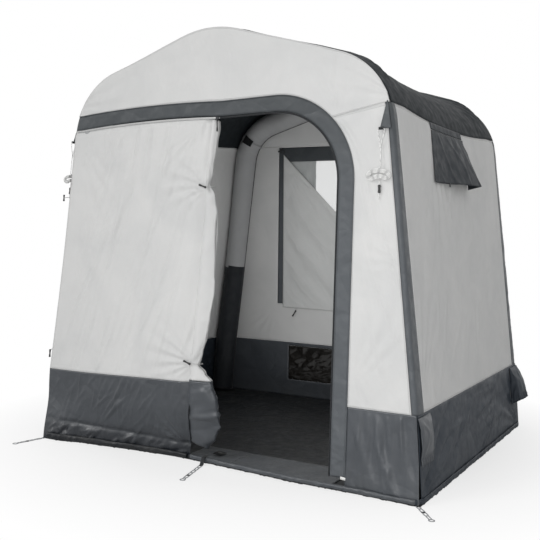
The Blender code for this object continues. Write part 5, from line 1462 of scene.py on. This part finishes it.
cloth("vent_mesh_cloth",
      lambda u, v: right_wall_point(mix(HOOD_FRONT + MESH_MARGIN, HOOD_REAR - MESH_MARGIN, u),
                                    mix(MESH_LOW, MESH_HIGH, v), -SEAM),
      [0.41], [0.18], relief([(0.001, 0.06, 2.0)]), MESH, "tent", ["vent_mesh"], "black_film")


def hood_surface(u, v):
    """Its rear side turns back to the wall as a cheek."""
    drop = 1 - v
    y = mix(HOOD_FRONT - 0.036 * drop, HOOD_REAR, min(u, 1.0))
    out = mix(0.004, HOOD_OUT_REAR, smooth(min(u, 1.0))) * drop + SEAM + CLOTH + 0.001
    corner = right_wall_point(y, HOOD_TOP - HOOD_DROP * drop, out)
    if u <= 1:
        return corner
    wall = right_wall_point(HOOD_REAR + 0.015, HOOD_TOP - (HOOD_DROP + 0.008) * drop, SEAM + CLOTH + 0.001)
    return corner.lerp(wall, u - 1)


def hood_wrinkle(a, b, p):
    low = smooth((0.24 - b) / 0.2)
    high = 0.0035 * swell(a, b, 0.16, 3.6, 1.3) + 0.0040 * crest(a + 0.6 * b, b, 0.13, 6.1, 2.0)
    return high + 0.0060 * low * swell(a, b, 0.13, 8.0, 2.4)


hood = cloth("hood_cloth", hood_surface, [0.521, 0.055], [0.27], hood_wrinkle, HOOD, "vent_hood",
             ["vent_hood"], "dark_cloth", free="left right foot", step=STEP * 0.7)

HOOD_CLEAR, HOOD_MIDDLE = 0.003, -0.1


def hood_head_surface(u, v):
    """It starts just above the hood's turning edge, so that the hood can lift."""
    z = mix(HOOD_TOP + HOOD_CLEAR, eave_height(HOOD_MIDDLE) + HEAD_LAP, v)
    return right_wall_point(mix(HOOD_FRONT, HOOD_REAR, u), z, SEAM + CLOTH)


cloth("hood_head", hood_head_surface, [0.521], [0.045], None, HOOD, "tent", slot="dark_cloth")
patch("hood_hem_tab", right_wall_point(-0.215, HOOD_TOP - HOOD_DROP - 0.006, 0.026), (0.016, 0.020),
      (1, 0, 0.1), (0, 0, 1), DARK_WEBBING, "vent_hood", "trim_cloth")


# Air beams: sleeves with a dark lower part, and the air-tight tube inside
def beam_frame(side, s, end):
    point, normal = arch_at(s)
    y = end * (face_y(point.y) - BEAM_FACE_INSET)
    centre = Vector((side * (point.x - normal.x * BEAM_INSET), y, point.y - normal.y * BEAM_INSET))
    return centre, Vector((side * normal.x, 0, normal.y))


def beam_surface(end, radius, foot):
    low = arch_s(foot)

    def surface(u, v):
        s = mix(low, ARCH_LENGTH, v) if v <= 1 else mix(ARCH_LENGTH, low, v - 1)
        centre, out = beam_frame(1 if v <= 1 else -1, s, end)
        turn = 2 * pi * u
        return centre + (out * cos(turn) + Vector((0, 1, 0)) * sin(turn)) * radius
    return surface


def beam_wrinkle(a, b, p):
    """Blown tight, with puckers on the inside of each bend."""
    inner = smooth((-cos(2 * pi * a / (2 * pi * SLEEVE_RADIUS)) + 0.1) / 1.1)
    z_bend = smooth((p.z - 1.35) / 0.2) * (1 - smooth((abs(p.x) - 0.2) / -0.1))
    pucker = 0.5 + 0.5 * sin(b * 2 * pi / 0.052 + 2.2 * swell(a, b, 0.1, 2.0))
    return -0.0045 * inner * z_bend * pucker + 0.0006 * swell(a, b, 0.10, 4.0)


beam_length = 2 * (ARCH_LENGTH - 0.05)
for end, word in ((-1, "front"), (1, "rear")):
    sleeve = cloth(f"{word}_beam_cloth", beam_surface(end, SLEEVE_RADIUS, 0.022),
                   [2 * pi * SLEEVE_RADIUS], [beam_length / 2, beam_length / 2], beam_wrinkle, SLEEVE,
                   "tent", [f"{word}_beam_sleeve"], closed=True, free="foot head", thick=0.001,
                   step=max(STEP, 0.0145))
    sleeve.data.materials.append(BLACK_CLOTH)
    for face in sleeve.data.polygons:
        face.material_index = int(face.center.z < 0.91)
    cloth(f"{word}_bladder_film", beam_surface(end, SLEEVE_RADIUS - 0.0075, 0.038),
          [2 * pi * SLEEVE_RADIUS], [beam_length / 2, beam_length / 2], None, BLADDER, "tent",
          [f"{word}_beam_bladder"], "bladder_film", closed=True, free="foot head", thick=0.0006, step=0.03)


# Hook-and-loop tie round the rear beam
def tie_surface(u, v):
    s = arch_s(TIE_HEIGHT) + TIE_WIDTH * (v - 0.5)
    centre, out = beam_frame(-1, s, 1)
    into = -out
    angle = mix(radians(135), radians(-25), u)
    way = into * cos(angle) + Vector((0, -1, 0)) * sin(angle)
    return centre + way * (SLEEVE_RADIUS + 0.0018 + CLOTH)


cloth("beam_tie_strap", tie_surface, [0.21], [TIE_WIDTH], relief([(0.0008, 0.02, 1.0)]), SLEEVE, "tent",
      ["rear_beam_tie"], "light_cloth", thick=0.002, step=0.007, sewn=0.004)


# Valve pockets
def pocket_surface(middle, flare):
    """A flared flap also has a cheek that comes out from the wall, for u below 1."""
    def surface(u, v):
        drop = 1 - v
        if flare:
            if u < 1:
                point, normal = arch_at(arch_s(mix(POCKET_FOOT - 0.01, POCKET_TOP, v)))
                point = point + normal * (SEAM + CLOTH)
                wall = Vector((point.x, middle - POCKET_WIDTH / 2 - 0.004, point.y))
                return wall.lerp(surface(1.0, v), u)
            u -= 1
        dome = sin(pi * mix(0.06, 0.94, u)) ** 0.5
        bulge = POCKET_BULGE * sin(pi * min(drop * 1.05, 1.0)) ** 0.7 if drop > 0 else 0.0
        bulge = max(bulge, POCKET_HEM * smooth(drop * 2)) * dome
        foot = POCKET_FOOT + (0.018 if flare else 0.0)
        point, normal = arch_at(arch_s(mix(foot, POCKET_TOP, v)))
        point = point + normal * (SEAM + CLOTH + bulge + flare * 0.74 * drop)
        return Vector((point.x, middle + POCKET_WIDTH * (u - 0.5), point.y))
    return surface


def pocket_wrinkle(a, b, p):
    gather = 1 - smooth(b / 0.07)
    return (0.0035 * crest(a, b, 0.05, 2.2, 1.8) + 0.002 * swell(a, b, 0.04, 5.0)
            + 0.0042 * gather * sin(2 * pi * a / 0.015 + 2 * swell(a, b, 0.05, 1.0)))


# The rear flap takes the shaded copy of the mud band cloth, as painted shade
for end, word in ((-1, "front"), (1, "rear")):
    middle = end * (face_y(VALVE_HEIGHT) - BEAM_FACE_INSET)
    flap = cloth(f"{word}_pocket_cloth", pocket_surface(middle, POCKET_FLARE if end > 0 else 0.0),
                 [0.055, 0.165] if end > 0 else [0.165], [0.215], pocket_wrinkle, SHADED_SIDE_CLOTH if end > 0 else DARK,
                 f"{word}_pocket_flap", [f"{word}_valve_pocket_flap"],
                 "dark_cloth", free="left right foot", step=0.006)

# Guy gussets with their webbing tabs
for word in ("right", "left"):
    place = GuyPlace(word)
    cloth("gusset_cloth_" + word, place.gusset, [GUSSET_WIDTH], [0.125], relief([(0.001, 0.03, 2.0)]), TRIM,
          "tent", ["guy_gusset_" + word], "trim_cloth", step=0.006, sewn=0.008)
    shape = bmesh.new()
    outer, inner = LOOP_RADIUS, LOOP_BORE
    spin(shape, [(inner, -LOOP_LENGTH / 2), (outer, -LOOP_LENGTH / 2), (outer, LOOP_LENGTH / 2),
                 (inner, LOOP_LENGTH / 2), (inner, -LOOP_LENGTH / 2)], 28)
    bmesh.ops.transform(shape, matrix=turned_to(place.at(0, 0), place.across), verts=shape.verts)
    soften(shape, [e for e in shape.edges if e.calc_face_angle(0) > 1], 0.0007)
    place_piece(shape, "webbing_tab_" + word, DARK_WEBBING, "tent", slot="trim_cloth")


# Ladder straps: linked webbing loops with stitched blocks, ending in a ring
LADDER_START, LADDER_PITCH, LADDER_RAIL, RAIL_OFF = 0.0022, 0.045, 0.004, 0.006


def strap_loop(shape, middle, length, width, wide):
    """A flat band of webbing bent into a long loop."""
    before = set(shape.faces)
    verts = bmesh.ops.create_grid(shape, x_segments=1, y_segments=1, size=0.5)["verts"]
    bmesh.ops.scale(shape, vec=(length, width, 1), verts=verts)
    bmesh.ops.translate(shape, vec=(middle, 0, 0), verts=verts)
    bmesh.ops.bevel(shape, geom=verts, offset=width * 0.47, segments=6, affect="VERTICES", profile=0.5,
                    material=-1)
    plate = [face for face in shape.faces if face not in before]
    ring = bmesh.ops.inset_region(shape, faces=plate, thickness=wide, use_boundary=True,
                                  use_even_offset=True)["faces"]
    bmesh.ops.delete(shape, geom=plate, context="FACES")
    grown = bmesh.ops.extrude_face_region(shape, geom=ring)
    lifted = [item for item in grown["geom"] if isinstance(item, bmesh.types.BMVert)]
    bmesh.ops.translate(shape, vec=(0, 0, LADDER_THICKNESS), verts=lifted)


for word, (x, heading, length) in LADDERS.items():
    way = radians(heading)
    half_wide = LADDER_WIDTH / 2
    base = Vector((x, -DEPTH / 2 - 0.0008 - half_wide * abs(cos(way)), LADDER_LIFT))
    turn = Matrix.Translation(base) @ Matrix.Rotation(way, 4, "Z")
    shape = bmesh.new()
    ring_middle = length - LADDER_RING
    count = int((ring_middle - LADDER_RING - 0.0045) / LADDER_PITCH)
    for k in range(count):
        middle = LADDER_START + LADDER_PITCH * (k + 0.5)
        strap_loop(shape, middle, LADDER_PITCH - 0.0005, LADDER_WIDTH, 0.0046)
    strap_loop(shape, ring_middle, 2 * LADDER_RING, 2 * LADDER_RING, 0.0050)
    rest_start = LADDER_START + LADDER_PITCH * count
    long = ring_middle - LADDER_RING * 0.75 - rest_start
    for lean in (-RAIL_OFF, RAIL_OFF):
        block(shape, (long, LADDER_RAIL, LADDER_THICKNESS),
              Matrix.Translation((rest_start + long / 2, lean, LADDER_THICKNESS / 2)))
    bmesh.ops.recalc_face_normals(shape, faces=shape.faces)
    bmesh.ops.transform(shape, matrix=turn, verts=shape.verts)
    place_piece(shape, "ladder_webbing_" + word, WEBBING, "ladder_strap_" + word, ["ladder_strap_" + word],
                "grey_plastic")
    shape = bmesh.new()
    for middle, long in ((0.008, 0.014), (LADDER_START + LADDER_PITCH * (count - 1), 0.013)):
        block(shape, (long, LADDER_WIDTH * 0.90, LADDER_THICKNESS + 0.0012),
              Matrix.Translation((middle, 0, LADDER_THICKNESS / 2)))
    soften(shape, list(shape.edges), 0.0009)
    bmesh.ops.transform(shape, matrix=turn, verts=shape.verts)
    place_piece(shape, "ladder_block_" + word, DARK_WEBBING, "ladder_strap_" + word)
    inward, aside = Vector((-cos(way), -sin(way), 0)), Vector((-sin(way), cos(way), 0))
    cloth("ladder_tab_" + word,
          lambda u, v: (base + inward * (0.075 * v - 0.003) + aside * half_wide * 2 * (u - 0.5)
                        + Vector((0, 0, 0.003 + 0.030 * smooth(v * 2.2)))),
          [LADDER_WIDTH], [0.08], None, DARK_WEBBING, "tent", slot="trim_cloth", thick=0.0014, step=0.006)


def sleeve_spot(turn, s, out):
    """A place on the rear sleeve's left half, turned from its inner side towards the front."""
    centre, normal = beam_frame(-1, s, 1)
    return settle(centre + (Vector((0, -1, 0)) * sin(turn) - normal * cos(turn)) * (SLEEVE_RADIUS + out))


def ring_points(centre, across, up, count):
    """Points round an ellipse with those two half axes."""
    turns = [2 * pi * k / count for k in range(count)]
    return [Vector(centre) + Vector(across) * cos(turn) + Vector(up) * sin(turn) for turn in turns]


# Fasteners: toggles, their elastics, the slider's pull, patches and piping
OUT_FRONT, SLIDER_X, PATCH_SIDE = (0, -1, 0), 0.002, 0.066
for k, z in enumerate(TOGGLE_HEIGHTS, 1):
    toggle(f"half_tie_toggle_{k}", front_point(fold_x(z) - 0.020, z, 0.003), (1, 0, -0.35), OUT_FRONT,
           "door_leaf", 0.044, 0.0056)
    width, depth = half_size(z)
    loop = ring_points((fold_x(z) + 0.011, depth / 2 - face_y(z) + 0.001, z - 0.004),
                       (width / 2 + 0.018, 0, 0), (0, depth / 2 + 0.006, 0), 28)
    tube(f"half_tie_elastic_{k}", loop, 0.0014, ELASTIC, "door_half", slot="white_rope", cyclic=True)

slider_z = run_height(SLIDER_X) - SEAM - ZIP_WIDTH / 2
pull = [front_point(SLIDER_X + right, slider_z - down, out) for right, down, out in
        ((0, 0.006, 0.009), (0.001, 0.02, 0.008), (0.002, 0.045, 0.007), (0.002, 0.055, 0.007))]
tube("slider_pull_cord", pull[:3], 0.0026, BLACK, "door_slider", slot="black_plastic")
shape = bmesh.new()
spin(shape, [(0, -0.013), (0.003, -0.012), (0.0042, -0.006), (0.0036, 0.006), (0.0022, 0.012), (0, 0.013)],
     14)
bmesh.ops.transform(shape, matrix=turned_to(pull[3], (0, 0, 1)), verts=shape.verts)
place_piece(shape, "slider_pull_tip", BLACK, "door_slider", slot="black_plastic")

tube("shoulder_elastic", [(-0.955, -0.872, 1.332), (-0.980, -0.866, 1.331), (-1.002, -0.860, 1.329)], 0.0016,
     ELASTIC, "tent", slot="white_rope")
toggle("shoulder_toggle", (-1.004, -0.860, 1.329), (0.05, 0, 1), (0, 0, 0), "tent", 0.036, 0.0052)
tube("low_left_elastic", [(-1.052, -0.872, 0.486), (-1.068, -0.876, 0.490), (-1.078, -0.880, 0.484)], 0.0016,
     BLACK, "tent", slot="black_plastic")
toggle("low_left_toggle", (-1.080, -0.881, 0.466), (0.08, 0, 1), (0, 0, 0), "tent", 0.044, 0.0056)
toggle("curtain_toggle_head", (-0.592, 0.862, 1.735), (1, 0, 0.55), OUT_FRONT, "tent", 0.044, 0.0056)
toggle("curtain_toggle_foot", (-0.463, 0.872, 0.594), (-0.62, 0, -1), OUT_FRONT, "tent", 0.052, 0.0056)
tube("curtain_loop_head", ring_points((-0.576, 0.859, 1.726), (0.016, 0, 0), (0, 0, 0.010), 12), 0.0018,
     BLACK, "tent", slot="black_plastic", cyclic=True)
patch("trim_foot_label", front_point(0.727, 0.060, 0.004), (0.026, 0.013), OUT_FRONT, (0.1, 0, 1),
      WHITE_TAPE, "tent", "light_cloth")
cloth("sleeve_patch",
      lambda u, v: sleeve_spot(mix(1.0, 1.95, u), arch_s(TIE_HEIGHT) + PATCH_SIDE * (v - 0.5), 0.0052),
      [PATCH_SIDE], [PATCH_SIDE], None, HOOK, "tent", slot="black_plastic", thick=0.0012, step=0.008)
piping = [sleeve_spot(-0.25, s, 0.0008) for s in np.linspace(arch_s(0.92), ARCH_LENGTH, 100)]
tube("rear_sleeve_piping", piping, 0.0020, BLACK, "tent", slot="black_plastic")
patch("threshold_hook_patch", (-0.057, -0.710, 0.0140), (0.052, 0.060), (0.1, 0, 1), (0, 1, 0),
      HOOK, "tent", "black_plastic")

# Finishes for the rigid nodes that stay
for name, finish in (("door_slider", ZIP), ("guy_runner_left", BLACK), ("guy_runner_right", BLACK),
                     *((f"{end}_valve_{part}", GREY) for end in ("front", "rear")
                       for part in ("body", "cap", "plunger"))):
    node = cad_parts[name]
    node.data.materials.clear()
    node.data.materials.append(finish)
